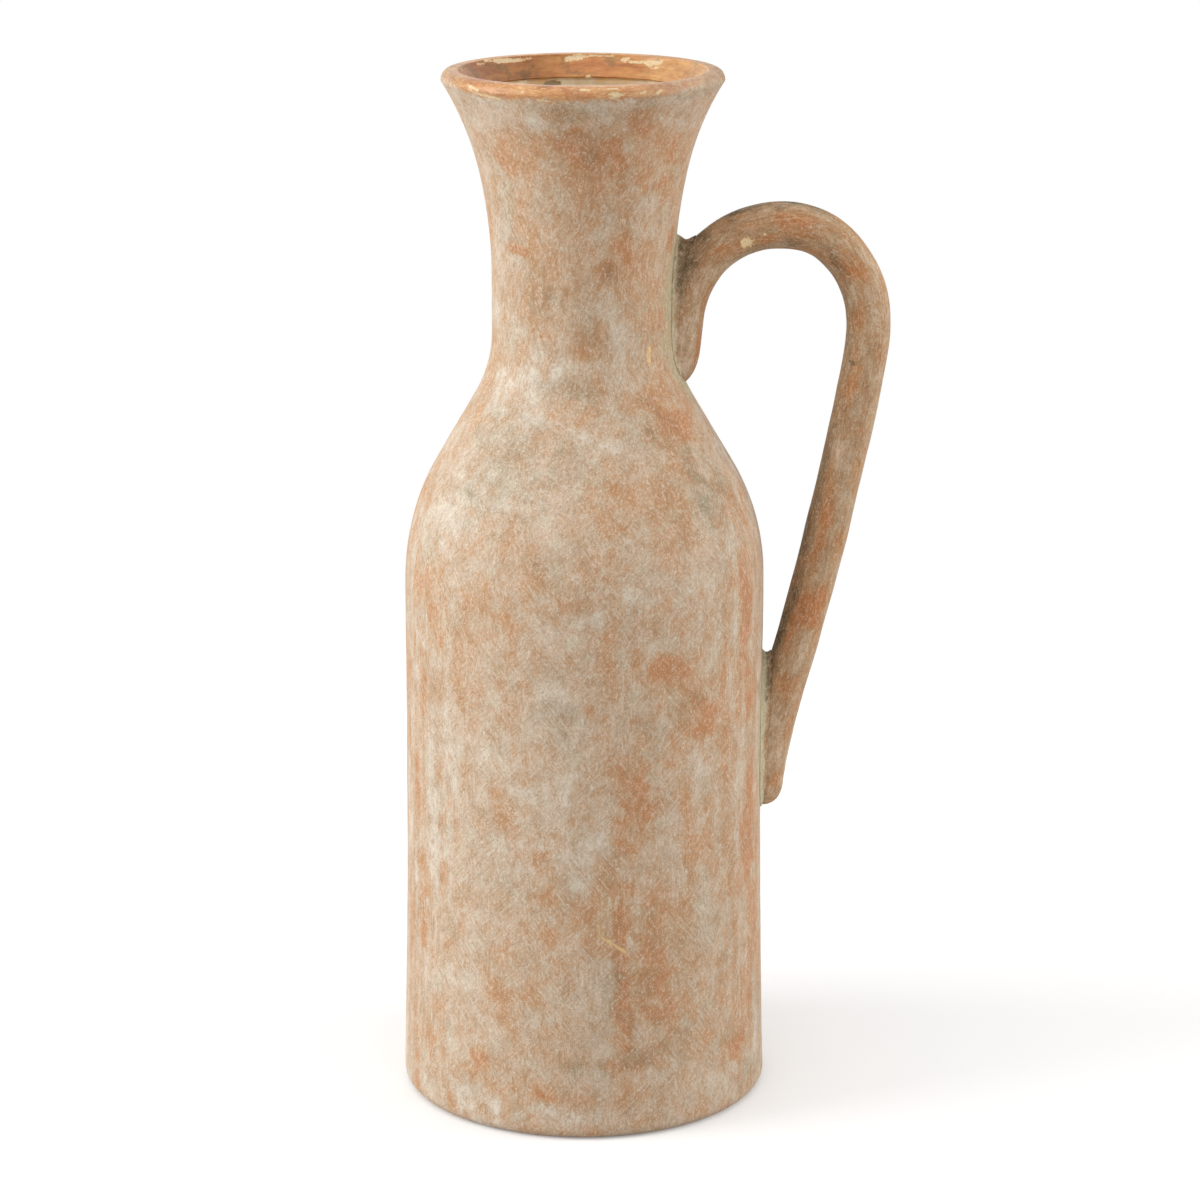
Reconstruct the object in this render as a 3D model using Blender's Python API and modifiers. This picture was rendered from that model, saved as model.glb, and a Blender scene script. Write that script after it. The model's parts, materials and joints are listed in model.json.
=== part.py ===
# Tall earthen jug: a thrown body and neck, a thick rim, and one bow handle luted on at both ends.
# The vessel's axis is Z, its flat base stands on Z = 0, and the handle reaches out along +X.
# Sizes are in metres, and a lean is the angle of the wall from the vertical.

import math

import bmesh
import bpy
from mathutils import Vector

# Vessel, from the base up
BASE_RADIUS = 0.0893
BASE_CORNER = 0.0055
BODY_RADIUS = 0.0863
TAPER_TOP = 0.190
BODY_HEIGHT = 0.257
SHOULDER_BEND = 0.110
SHOULDER_LEAN = math.radians(30.5)
NECK_BEND = 0.062
NECK_RADIUS = 0.0433
NECK_LENGTH = 0.0261
FLARE_BEND = 0.220
FLARE_LEAN = math.radians(13.0)
MOUTH_RADIUS = 0.0665
MOUTH_LEAN = math.radians(31.5)

# Walls
FLOOR_THICKNESS = 0.010
BODY_WALL = 0.008
NECK_WALL = 0.0065
INNER_CORNER = 0.009

# Rim: a rounded lip, a narrow flat on top and a slope that overhangs the neck's inside
RIM_HEIGHT = 0.0140
LIP_DROP = 0.0046
LIP_ROUND = 0.0039
RIM_FLAT = 0.0038
RIM_EDGE = 0.0009
RIM_SLOPE_WIDTH = 0.0075
RIM_SLOPE_DROP = 0.0100
RIM_NOSE = 0.0012

# Seam between body and neck, and the roll of clay pressed over its inside
SEAM_DROP = 0.042
COIL_WIDTH = 0.024
COIL_THICKNESS = 0.0035

# Handle: a round rod whose tails hug the neck and the body, a little thinner along its leg
ROD_RADIUS = 0.0107
LEG_RADIUS = 0.0104
LEG_SAG = 0.0012
HANDLE_REACH = 0.1353
HANDLE_RISE = 0.0495
LOWER_ROOT_HEIGHT = 0.165

# Luting: radius of the ball that fits the corner between rod and wall, at the notch, sides and tip
UPPER_FILLET = (0.0040, 0.0032, 0.0018)
LOWER_FILLET = (0.0024, 0.0038, 0.0018)
LUTING_EDGE = 0.0005

# Clearance kept between neighbouring pieces
GAP = 0.0003

# Facets
SEGMENTS = 56
ARC_STEP = math.radians(6.0)
CORNER_STEPS = 3
LIP_STEPS = 4
EDGE_STEPS = 2
TAPER_STEPS = 4
COIL_STEPS = 6
ROD_RESOLUTION = 8
STEPS_PER_SPAN = 3
FINE_STEPS_PER_SPAN = 40
LUTING_STATIONS = 60
LUTING_SAMPLES = 240
LUTING_ARC_POINTS = 4
LUTING_BACK_POINTS = 3

# Accuracy of a place along the rod's path, in steps of that path
STATION_ACCURACY = 0.00001

# Points closer than this are one point, and edges sharper than this stay sharp
WELD_DISTANCE = 0.00001
SHARP_ANGLE = math.radians(50.0)

# Linear colour, roughness
CLAY = (0.46, 0.27, 0.16)
WASHED_CLAY = (0.50, 0.36, 0.26)
BROWN_CLAY = (0.34, 0.20, 0.12)
LUTING_CLAY = (0.47, 0.41, 0.31)
MATTE = 0.8
GLAZED = 0.35


# Outlines are lists of (radius, height)

def bend(path, radius, lean_from, lean_to):
    start_r, start_z = path[-1]
    sweep = lean_to - lean_from
    turn = math.copysign(radius, sweep)
    steps = max(2, math.ceil(abs(sweep) / ARC_STEP))
    for i in range(1, steps + 1):
        lean = lean_from + sweep * i / steps
        r = start_r + turn * (math.cos(lean_from) - math.cos(lean))
        z = start_z + turn * (math.sin(lean) - math.sin(lean_from))
        path.append((r, z))


def taper(height):
    above = min(height / TAPER_TOP, 1.0)
    return BODY_RADIUS + (BASE_RADIUS - BODY_RADIUS) * (1.0 - above) ** 2


def outer_outline():
    # The outside of the wall from the top of the base's corner to the widest line of the lip
    rise = (TAPER_TOP - BASE_CORNER) / TAPER_STEPS
    heights = [BASE_CORNER + rise * i for i in range(TAPER_STEPS + 1)]
    path = [(taper(z), z) for z in heights]
    path.append((BODY_RADIUS, BODY_HEIGHT))
    bend(path, SHOULDER_BEND, 0.0, -SHOULDER_LEAN)
    slope_end = NECK_RADIUS + NECK_BEND * (1.0 - math.cos(SHOULDER_LEAN))
    slope_rise = (path[-1][0] - slope_end) / math.tan(SHOULDER_LEAN)
    path.append((slope_end, path[-1][1] + slope_rise))
    bend(path, NECK_BEND, -SHOULDER_LEAN, 0.0)
    throat = path[-1][1]
    path.append((NECK_RADIUS, throat + NECK_LENGTH))
    bend(path, FLARE_BEND, 0.0, FLARE_LEAN)
    mouth_bend = (MOUTH_RADIUS - path[-1][0]) / (math.cos(FLARE_LEAN) - math.cos(MOUTH_LEAN))
    bend(path, mouth_bend, FLARE_LEAN, MOUTH_LEAN)
    return path, throat


def offset(path, distance):
    # Move a rising outline sideways by distance(height), outwards where that is positive
    moved = []
    for i, (r, z) in enumerate(path):
        before = path[max(i - 1, 0)]
        after = path[min(i + 1, len(path) - 1)]
        along = Vector((after[0] - before[0], after[1] - before[1])).normalized()
        moved.append((r + along.y * distance(z), z - along.x * distance(z)))
    return moved


def radius_at(path, height):
    for (r0, z0), (r1, z1) in zip(path, path[1:]):
        if z0 <= height <= z1:
            return r0 + (r1 - r0) * (height - z0) / (z1 - z0)
    return path[0][0] if height < path[0][1] else path[-1][0]


def between(path, low, high):
    inside = [(r, z) for r, z in path if low < z < high]
    return [(radius_at(path, low), low)] + inside + [(radius_at(path, high), high)]


def quarter(centre_r, centre_z, reach_r, reach_z, start, steps):
    # A quarter of an ellipse, turning clockwise from the start angle
    points = []
    for i in range(steps + 1):
        angle = start - 0.5 * math.pi * i / steps
        points.append((centre_r + reach_r * math.cos(angle), centre_z + reach_z * math.sin(angle)))
    return points


# Objects

def make_collection(name):
    collection = bpy.data.collections.new(name)
    bpy.context.scene.collection.children.link(collection)
    return collection


def make_material(name, colour, roughness):
    material = bpy.data.materials.new(name)
    material.use_nodes = True
    shader = material.node_tree.nodes["Principled BSDF"]
    shader.inputs["Base Color"].default_value = (*colour, 1.0)
    shader.inputs["Roughness"].default_value = roughness
    shader.inputs["Metallic"].default_value = 0.0
    material.diffuse_color = (*colour, 1.0)
    return material


def turned(name, outline, closed, collection, material=None):
    # A profile at +X, running up the inside and down the outside, turned about Z
    verts = [(r, 0.0, z) for r, z in outline]
    edges = [(i, i + 1) for i in range(len(verts) - 1)]
    if closed:
        edges.append((len(verts) - 1, 0))
    mesh = bpy.data.meshes.new(name)
    mesh.from_pydata(verts, edges, [])
    if material:
        mesh.materials.append(material)
    piece = bpy.data.objects.new(name, mesh)
    collection.objects.link(piece)
    screw = piece.modifiers.new("Turn", "SCREW")
    screw.axis = "Z"
    screw.angle = 2.0 * math.pi
    screw.steps = SEGMENTS
    screw.render_steps = SEGMENTS
    screw.use_merge_vertices = True
    screw.merge_threshold = WELD_DISTANCE
    screw.use_smooth_shade = True
    return piece


def smooth_path(points, steps):
    # A centripetal Catmull-Rom curve through points in the plane, with the ends carried on straight
    first = points[0] + (points[0] - points[1])
    last = points[-1] + (points[-1] - points[-2])
    chain = [first] + points + [last]
    path = []
    for a, b, c, d in zip(chain, chain[1:], chain[2:], chain[3:]):
        t1 = (b - a).length ** 0.5
        t2 = t1 + (c - b).length ** 0.5
        t3 = t2 + (d - c).length ** 0.5
        for i in range(steps):
            t = t1 + (t2 - t1) * i / steps
            ab = a.lerp(b, t / t1)
            bc = b.lerp(c, (t - t1) / (t2 - t1))
            cd = c.lerp(d, (t - t2) / (t3 - t2))
            path.append(ab.lerp(bc, t / t2).lerp(bc.lerp(cd, (t - t1) / (t3 - t1)), (t - t1) / (t2 - t1)))
    path.append(points[-1])
    return path


def handle_waypoints(wall, throat):
    # The rod's centre line in the plane Y = 0, from inside the neck, over the bow, to inside the body.
    # Each waypoint is (distance from the vessel's axis, height, radius of the rod).
    neck = radius_at(wall, throat)
    body = radius_at(wall, LOWER_ROOT_HEIGHT)
    top = throat + HANDLE_RISE
    root = LOWER_ROOT_HEIGHT
    full = ROD_RADIUS
    slim = LEG_RADIUS
    upper_tail = [
        Vector((neck - 0.0050, throat - 0.0232, 0.25 * full)),
        Vector((neck - 0.0036, throat - 0.0217, 0.55 * full)),
        Vector((neck - 0.0018, throat - 0.0186, 0.80 * full)),
        Vector((neck + 0.0003, throat - 0.0138, 0.97 * full)),
        Vector((neck + 0.0015, throat - 0.0078, full)),
        Vector((neck + 0.0025, throat + 0.0012, full)),
        Vector((neck + 0.0040, throat + 0.0122, full)),
    ]
    bow = [
        Vector((neck + 0.0082, top - 0.0253, full)),
        Vector((neck + 0.0172, top - 0.0128, full)),
        Vector((HANDLE_REACH - 0.0600, top - 0.0033, full)),
        Vector((HANDLE_REACH - 0.0424, top, full)),
        Vector((HANDLE_REACH - 0.0240, top - 0.0036, full)),
        Vector((HANDLE_REACH - 0.0099, top - 0.0161, full)),
        Vector((HANDLE_REACH - 0.0021, top - 0.0317, full)),
        Vector((HANDLE_REACH, top - 0.0483, slim)),
        Vector((HANDLE_REACH - 0.0018, top - 0.0663, slim)),
    ]
    lower_tail = [
        Vector((body + 0.0172, root + 0.0590, slim)),
        Vector((body + 0.0117, root + 0.0390, slim)),
        Vector((body + 0.0063, root + 0.0190, slim)),
        Vector((body + 0.0023, root, full)),
        Vector((body + 0.0007, root - 0.0092, full)),
        Vector((body - 0.0001, root - 0.0148, 0.97 * full)),
        Vector((body - 0.0009, root - 0.0181, 0.82 * full)),
        Vector((body - 0.0020, root - 0.0198, 0.52 * full)),
        Vector((body - 0.0038, root - 0.0208, 0.25 * full)),
    ]
    # The leg runs almost straight from the bow to the lower tail
    sag = Vector((LEG_SAG, 0.0, 0.0))
    leg = [bow[-1].lerp(lower_tail[0], third / 3.0) + sag for third in (1, 2)]
    return upper_tail + bow + leg + lower_tail


def rod_object(name, path, collection, material):
    data = bpy.data.curves.new(name, "CURVE")
    data.dimensions = "3D"
    data.bevel_depth = 1.0
    data.bevel_resolution = ROD_RESOLUTION
    data.use_fill_caps = True
    spline = data.splines.new("POLY")
    spline.points.add(len(path) - 1)
    for slot, point in zip(spline.points, path):
        slot.co = (point.x, 0.0, point.y, 1.0)
        slot.radius = point.z
    curve = bpy.data.objects.new(name + "_route", data)
    collection.objects.link(curve)
    depsgraph = bpy.context.evaluated_depsgraph_get()
    mesh = bpy.data.meshes.new_from_object(curve.evaluated_get(depsgraph))
    mesh.name = name
    weld(mesh)
    mesh.materials.clear()
    mesh.materials.append(material)
    piece = bpy.data.objects.new(name, mesh)
    piece.matrix_world = curve.matrix_world.copy()
    collection.objects.link(piece)
    bpy.data.objects.remove(curve)
    return piece


def weld(mesh):
    work = bmesh.new()
    work.from_mesh(mesh)
    bmesh.ops.remove_doubles(work, verts=work.verts, dist=WELD_DISTANCE)
    bmesh.ops.recalc_face_normals(work, faces=work.faces)
    work.to_mesh(mesh)
    work.free()
    mesh.shade_smooth()
    mesh.set_sharp_from_angle(angle=SHARP_ANGLE)


def cut_by(piece, cutter):
    boolean = piece.modifiers.new("Cut to " + cutter.name, "BOOLEAN")
    boolean.operation = "DIFFERENCE"
    boolean.solver = "EXACT"
    boolean.object = cutter


# Vessel pieces

def make_body(wall, inside, seam, collection):
    outside = between(wall, BASE_CORNER, seam)
    foot = quarter(outside[0][0] - BASE_CORNER, BASE_CORNER, BASE_CORNER, BASE_CORNER, 0.0, CORNER_STEPS)
    hollow = between(inside, FLOOR_THICKNESS + INNER_CORNER, seam)
    corner_r, corner_z = hollow[0]
    corner = quarter(corner_r - INNER_CORNER, corner_z, INNER_CORNER, INNER_CORNER, 0.0, CORNER_STEPS)
    outline = [(0.0, FLOOR_THICKNESS)] + corner[::-1] + hollow[1:] + outside[::-1] + foot[1:] + [(0.0, 0.0)]
    material = make_material("body_clay", WASHED_CLAY, MATTE)
    return turned("body", outline, False, collection, material)


def make_neck(wall, inside, seam, seat, collection):
    outside = between(wall, seam + GAP, seat)
    hollow = between(inside, seam + GAP, seat)
    material = make_material("neck_clay", WASHED_CLAY, MATTE)
    return turned("neck", hollow + outside[::-1], True, collection, material)


def make_rim(wall, inside, seat, collection):
    bottom = seat + GAP
    widest_r, widest_z = wall[-1]
    top = widest_z + LIP_DROP
    outside = between(wall, bottom, widest_z)
    lip = quarter(widest_r - LIP_ROUND, widest_z, LIP_ROUND, LIP_DROP, 0.5 * math.pi, LIP_STEPS)
    flat_end = widest_r - LIP_ROUND - RIM_FLAT
    edge = quarter(flat_end, top - RIM_EDGE, RIM_EDGE, RIM_EDGE, math.pi, EDGE_STEPS)
    nose_r = flat_end - RIM_EDGE - RIM_SLOPE_WIDTH
    nose_z = top - RIM_SLOPE_DROP
    nose = [(nose_r + RIM_NOSE, nose_z - RIM_NOSE), (nose_r, nose_z)]
    seat_inner = (radius_at(inside, bottom), bottom)
    outline = [seat_inner] + nose + edge + lip + outside[::-1][1:]
    material = make_material("rim_glaze", CLAY, GLAZED)
    return turned("rim_coil", outline, True, collection, material)


def make_seam_coil(inside, seam, collection):
    # A flat roll over the seam: its back follows the inside wall, its face bulges towards the axis
    back = between(offset(inside, lambda z: -GAP), seam - 0.5 * COIL_WIDTH, seam + 0.5 * COIL_WIDTH)

    def bulge(z):
        share = (z - seam) / (0.5 * COIL_WIDTH)
        return -COIL_THICKNESS * math.sqrt(max(1.0 - share * share, 0.0))

    heights = [seam + COIL_WIDTH * (i / COIL_STEPS - 0.5) for i in range(1, COIL_STEPS)]
    spine = [(radius_at(back, z), z) for z in heights]
    face = offset([back[0]] + spine + [back[-1]], bulge)[1:-1]
    material = make_material("coil_clay", CLAY, MATTE)
    return turned("seam_coil", face + back[::-1], True, collection, material)


def vessel_cutter(wall, collection):
    # The whole vessel as a solid, larger all round by the gap
    skin = offset(wall, lambda z: GAP)
    top = skin[-1][1] + LIP_DROP
    outline = [(0.0, top), (skin[-1][0], top)] + skin[::-1] + [(skin[0][0], 0.0), (0.0, 0.0)]
    cutter = turned("vessel_cutter", outline, False, collection)
    cutter.hide_render = True
    cutter.display_type = "WIRE"
    return cutter


# Handle and the clay that lutes it on

def nearest_on_wall(wall, point):
    # Nearest point of the vessel's outside, its outward normal, and the distance out from it
    along = math.hypot(point.x, point.y)
    place = Vector((along, point.z))
    best = None
    for low, high in zip(wall, wall[1:]):
        start = Vector(low)
        edge = Vector(high) - start
        share = max(0.0, min(1.0, (place - start).dot(edge) / edge.length_squared))
        foot = start + edge * share
        gap = (place - foot).length
        if best is None or gap < best[0]:
            out = Vector((edge.y, -edge.x)).normalized()
            best = (gap, foot, out, math.copysign(gap, (place - foot).dot(out)))
    foot, out, distance = best[1:]
    east = Vector((point.x / along, point.y / along))
    surface = Vector((east.x * foot.x, east.y * foot.x, foot.y))
    normal = Vector((east.x * out.x, east.y * out.x, out.y))
    return surface, normal, distance


def side_line(path, station, angle, lift):
    # Point lifted off the rod's skin on one side line, and the skin's normal there
    i = min(max(int(station), 1), len(path) - 3)
    share = station - i
    centre = path[i].lerp(path[i + 1], share)
    step = (path[i + 1] - path[i - 1]).lerp(path[i + 2] - path[i], share)
    along = Vector((step.x, step.y)).normalized()
    away = Vector((-along.y * math.cos(angle), math.sin(angle), along.x * math.cos(angle)))
    narrowing = step.z / math.hypot(step.x, step.y)
    normal = (away - Vector((along.x, 0.0, along.y)) * narrowing).normalized()
    return Vector((centre.x, 0.0, centre.y)) + away * centre.z + normal * lift, normal


def where_rod_meets(wall, path, angle, distance):
    # Station where a side line, lifted by this distance, comes only as far from the wall
    free = 1.0
    buried = len(path) - 3.0
    while buried - free > STATION_ACCURACY:
        middle = 0.5 * (free + buried)
        point = side_line(path, middle, angle, distance)[0]
        if nearest_on_wall(wall, point)[2] > distance:
            free = middle
        else:
            buried = middle
    return 0.5 * (free + buried)


def even_stops(wall, path, distance):
    # Stations and angles that cut the line this far from both rod and wall into equal lengths
    fine = LUTING_SAMPLES
    angles = [2.0 * math.pi * i / fine for i in range(fine + 1)]
    stations = [where_rod_meets(wall, path, angle, distance(angle)) for angle in angles]
    points = [side_line(path, s, angle, distance(angle))[0] for s, angle in zip(stations, angles)]
    lengths = [0.0]
    for before, after in zip(points, points[1:]):
        lengths.append(lengths[-1] + (after - before).length)
    stops = []
    k = 0
    for i in range(LUTING_STATIONS):
        target = lengths[-1] * i / LUTING_STATIONS
        while lengths[k + 1] <= target:
            k += 1
        share = (target - lengths[k]) / (lengths[k + 1] - lengths[k])
        angle = angles[k] + (angles[k + 1] - angles[k]) * share
        stops.append((where_rod_meets(wall, path, angle, distance(angle)), angle))
    return stops


def make_luting(name, wall, path, fillet, collection, material):
    # A ring of clay in the corner between rod and wall, hollowed by a ball that rolls along it
    notch, side, tip = fillet

    def ball_radius(angle):
        lean = math.cos(angle)
        end = tip if lean > 0.0 else notch
        return side + (end - side) * lean * lean

    corners = even_stops(wall, path, lambda angle: GAP)
    contacts = even_stops(wall, path, ball_radius)
    rings = []
    for (corner, corner_angle), (contact, angle) in zip(corners, contacts):
        ball = ball_radius(angle)
        centre, away = side_line(path, contact, angle, ball)
        normal = nearest_on_wall(wall, centre)[1]
        hollow = ball - GAP - LUTING_EDGE
        ring = []
        for k in range(LUTING_BACK_POINTS + 1):
            share = k / LUTING_BACK_POINTS
            station = corner + (contact - corner) * share
            turn = corner_angle + (angle - corner_angle) * share
            ring.append(side_line(path, station, turn, GAP)[0])
        for k in range(LUTING_ARC_POINTS + 1):
            towards = away.slerp(normal, k / LUTING_ARC_POINTS)
            ring.append(centre - towards * hollow)
        ring.append(centre - normal * (ball - GAP))
        rings.append(ring)
    count = len(rings[0])
    verts = [point for ring in rings for point in ring]
    faces = []
    for i in range(LUTING_STATIONS):
        here = i * count
        there = ((i + 1) % LUTING_STATIONS) * count
        for k in range(count):
            after = (k + 1) % count
            faces.append((here + k, here + after, there + after, there + k))
    mesh = bpy.data.meshes.new(name)
    mesh.from_pydata(verts, [], faces)
    mesh.materials.append(material)
    weld(mesh)
    piece = bpy.data.objects.new(name, mesh)
    collection.objects.link(piece)
    return piece


def make_handle(wall, throat, cutter, collection):
    waypoints = handle_waypoints(wall, throat)
    rod_clay = make_material("handle_clay", BROWN_CLAY, MATTE)
    handle = rod_object("handle", smooth_path(waypoints, STEPS_PER_SPAN), collection, rod_clay)
    cut_by(handle, cutter)

    fine_path = smooth_path(waypoints, FINE_STEPS_PER_SPAN)
    bow_top = max(range(len(fine_path)), key=lambda i: fine_path[i].y)
    luting_clay = make_material("luting_clay", LUTING_CLAY, MATTE)
    make_luting("upper_luting", wall, fine_path[:bow_top][::-1], UPPER_FILLET, collection, luting_clay)
    make_luting("lower_luting", wall, fine_path[bow_top:], LOWER_FILLET, collection, luting_clay)


def clear_scene():
    for old in list(bpy.data.objects):
        bpy.data.objects.remove(old, do_unlink=True)


def main():
    clear_scene()
    parts = make_collection("stoneware_jug")
    cutters = make_collection("cutters")
    wall, throat = outer_outline()
    seam = throat - SEAM_DROP
    seat = wall[-1][1] + LIP_DROP - RIM_HEIGHT

    def thickness(z):
        share = min(max((z - BODY_HEIGHT) / (throat - BODY_HEIGHT), 0.0), 1.0)
        return -(BODY_WALL + (NECK_WALL - BODY_WALL) * share)

    inside = offset(wall, thickness)
    make_body(wall, inside, seam, parts)
    make_neck(wall, inside, seam, seat, parts)
    make_rim(wall, inside, seat, parts)
    make_seam_coil(inside, seam, parts)
    make_handle(wall, throat, vessel_cutter(wall, cutters), parts)


main()
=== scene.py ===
import json
import math
import random

import bpy
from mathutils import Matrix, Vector, noise
from mathutils.kdtree import KDTree

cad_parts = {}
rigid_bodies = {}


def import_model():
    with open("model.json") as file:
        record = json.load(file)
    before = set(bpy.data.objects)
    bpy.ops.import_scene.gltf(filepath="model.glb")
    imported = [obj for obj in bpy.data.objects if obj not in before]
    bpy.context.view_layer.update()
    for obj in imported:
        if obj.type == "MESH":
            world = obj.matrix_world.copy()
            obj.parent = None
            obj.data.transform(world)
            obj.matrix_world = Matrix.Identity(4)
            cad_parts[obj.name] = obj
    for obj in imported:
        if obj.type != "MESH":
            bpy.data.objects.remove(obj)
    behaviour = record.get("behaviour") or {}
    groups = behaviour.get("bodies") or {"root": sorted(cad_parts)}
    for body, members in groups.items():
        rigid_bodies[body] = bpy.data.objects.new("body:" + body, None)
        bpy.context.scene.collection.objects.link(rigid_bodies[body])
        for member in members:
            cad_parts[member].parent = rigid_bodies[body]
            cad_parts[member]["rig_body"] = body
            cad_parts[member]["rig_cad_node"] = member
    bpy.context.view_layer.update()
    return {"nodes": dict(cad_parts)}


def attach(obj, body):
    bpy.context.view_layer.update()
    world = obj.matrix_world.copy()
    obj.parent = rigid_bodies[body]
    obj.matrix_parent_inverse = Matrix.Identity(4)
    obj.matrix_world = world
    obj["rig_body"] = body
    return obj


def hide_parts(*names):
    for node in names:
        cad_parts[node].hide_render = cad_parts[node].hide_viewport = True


# A tall washed earthen jug, in metres. The vessel's axis is Z and the handle reaches along +X.

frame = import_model()
print("frame loaded:", sorted(frame["nodes"]))


# Small helpers

def deselectAll():
    bpy.ops.object.select_all(action="DESELECT")


def pickOnly(piece):
    deselectAll()
    piece.select_set(True)
    bpy.context.view_layer.objects.active = piece


def editMode():
    bpy.ops.object.mode_set(mode="EDIT")


def objectMode():
    bpy.ops.object.mode_set(mode="OBJECT")


def smoothStep(low, high, value):
    share = min(max((value - low) / (high - low), 0.0), 1.0)
    return share * share * (3.0 - 2.0 * share)


# Camera, lamps and floor

camera = {
    "place": (0.00783, -1.757, 0.7221),
    "lookingDown": math.radians(15.235),
    "focalPixels": 3764.0,
    "framePixels": 1200.0,
    "sensor": 36.0,
}
lamps = {
    "keyLeft": {"place": (-2.30, -0.50, 1.20), "size": (1.4, 2.2), "power": 42.0},
    "fillRight": {"place": (2.20, -0.10, 1.00), "size": (1.1, 2.0), "power": 20.0},
    "softTop": {"place": (-0.20, -0.50, 2.60), "size": (1.6, 1.6), "power": 10.5},
}
studio = {
    "ambient": 0.66, "floorSize": 16.0, "floorColour": 0.86, "floorLift": 0.17,
    "bounce": 0.54, "nearEdge": 0.45, "farEdge": 1.10,
}
middle = Vector((0.0, 0.0, 0.25))

bpy.context.scene.view_settings.view_transform = "Standard"

tilt = math.pi / 2 - camera["lookingDown"]
bpy.ops.object.camera_add(location=camera["place"], rotation=(tilt, 0.0, 0.0))
photoCamera = bpy.context.object
photoCamera.name = "photoCamera"
photoCamera.data.sensor_width = camera["sensor"]
photoCamera.data.lens = camera["sensor"] * camera["focalPixels"] / camera["framePixels"]
bpy.context.scene.camera = photoCamera

for lampName, lamp in lamps.items():
    aim = middle - Vector(lamp["place"])
    bpy.ops.object.light_add(
        type="AREA",
        location=lamp["place"],
        rotation=aim.to_track_quat("-Z", "Y").to_euler(),
    )
    light = bpy.context.object
    light.name = lampName
    light.data.shape = "RECTANGLE"
    light.data.size, light.data.size_y = lamp["size"]
    light.data.energy = lamp["power"]


def addNode(tree, kind, inputs=None, **settings):
    made = tree.nodes.new("ShaderNode" + kind)
    for key, value in settings.items():
        setattr(made, key, value)
    for key, value in (inputs or {}).items():
        if isinstance(value, bpy.types.NodeSocket):
            tree.links.new(value, made.inputs[key])
        else:
            made.inputs[key].default_value = value
    return made


def blend(tree, factor, first, second):
    # Each colour is a socket or three numbers
    first, second = (c if isinstance(c, bpy.types.NodeSocket) else (*c, 1.0) for c in (first, second))
    return addNode(tree, "Mix", {0: factor, 6: first, 7: second}, data_type="RGBA").outputs[2]


def calc(tree, operation, first, second=0.0, third=0.0):
    return addNode(tree, "Math", {0: first, 1: second, 2: third}, operation=operation).outputs[0]


def times(tree, first, second):
    return calc(tree, "MULTIPLY", first, second)


def clamped(tree, value):
    return addNode(tree, "Clamp", {"Value": value}).outputs[0]


def split(tree, vector):
    return addNode(tree, "SeparateXYZ", {0: vector}).outputs


def fromMesh(tree, name):
    # What the mesh's points remember under this name
    return addNode(tree, "Attribute", attribute_name=name).outputs["Vector"]


def weighed(tree, start, *parts):
    # start + the sum of (value - 0.5) * weight
    total = start
    for value, weight in parts:
        centred = calc(tree, "SUBTRACT", value, 0.5)
        total = calc(tree, "MULTIPLY_ADD", centred, weight, total)
    return total


def lerp(tree, factor, first, second):
    return addNode(tree, "Mix", {0: factor, 2: first, 3: second}, data_type="FLOAT").outputs[0]


def ramp(tree, value, low, high):
    facts = {"Value": value, "From Min": low, "From Max": high}
    return addNode(tree, "MapRange", facts, interpolation_type="SMOOTHSTEP").outputs[0]


def shades(tree, value, stops):
    # A colour ramp from a list of (position, colour)
    made = addNode(tree, "ValToRGB", {0: value})
    band = made.color_ramp.elements
    while len(band) < len(stops):
        band.new(0.5)
    for element, (position, colour) in zip(band, stops):
        element.position = position
        element.color = (*colour, 1.0)
    return made.outputs[0]


def cloud(tree, place, size, detail=3.0, roughness=0.55, distortion=0.0):
    facts = {"Vector": place, "Scale": 1.0 / size}
    facts.update({"Detail": detail, "Roughness": roughness, "Distortion": distortion})
    return addNode(tree, "TexNoise", facts).outputs[0]


def stretched(tree, place, share):
    # A pattern drawn out along the height where the share is under 1, along the ring where it is over 1
    return addNode(tree, "VectorMath", {0: place, 1: (1.0, 1.0, share)}, operation="MULTIPLY").outputs[0]


def shifted(tree, place, amount):
    return addNode(tree, "VectorMath", {0: place, 1: amount}, operation="ADD").outputs[0]


def twisted(tree, place, turnPerMetre):
    height = split(tree, place)["Z"]
    angle = times(tree, height, turnPerMetre)
    facts = {"Vector": place, "Angle": angle}
    return addNode(tree, "VectorRotate", facts, rotation_type="Z_AXIS").outputs[0]


def linear(red, green, blue):
    # A colour as it is seen, 0 to 255, made into the shader's linear values
    return tuple(((c / 255 + 0.055) / 1.055) ** 2.4 for c in (red, green, blue))


def whiteForTheEye(tree):
    # 1 for what the camera, a mirror or a glass sees, 0 for the light that reaches the jug
    rays = addNode(tree, "LightPath").outputs
    either = calc(tree, "MAXIMUM", rays["Is Camera Ray"], rays["Is Glossy Ray"])
    return calc(tree, "MAXIMUM", either, rays["Is Transmission Ray"])


world = bpy.data.worlds.new("studioWorld")
bpy.context.scene.world = world
world.use_nodes = True
worldTree = world.node_tree
seen = whiteForTheEye(worldTree)
worldTree.nodes["Background"].inputs["Color"].default_value = (1.0, 1.0, 1.0, 1.0)
brightness = addNode(worldTree, "MapRange", {"Value": seen, "To Min": studio["ambient"], "To Max": 1.0})
worldTree.links.new(brightness.outputs[0], worldTree.nodes["Background"].inputs["Strength"])

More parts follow.
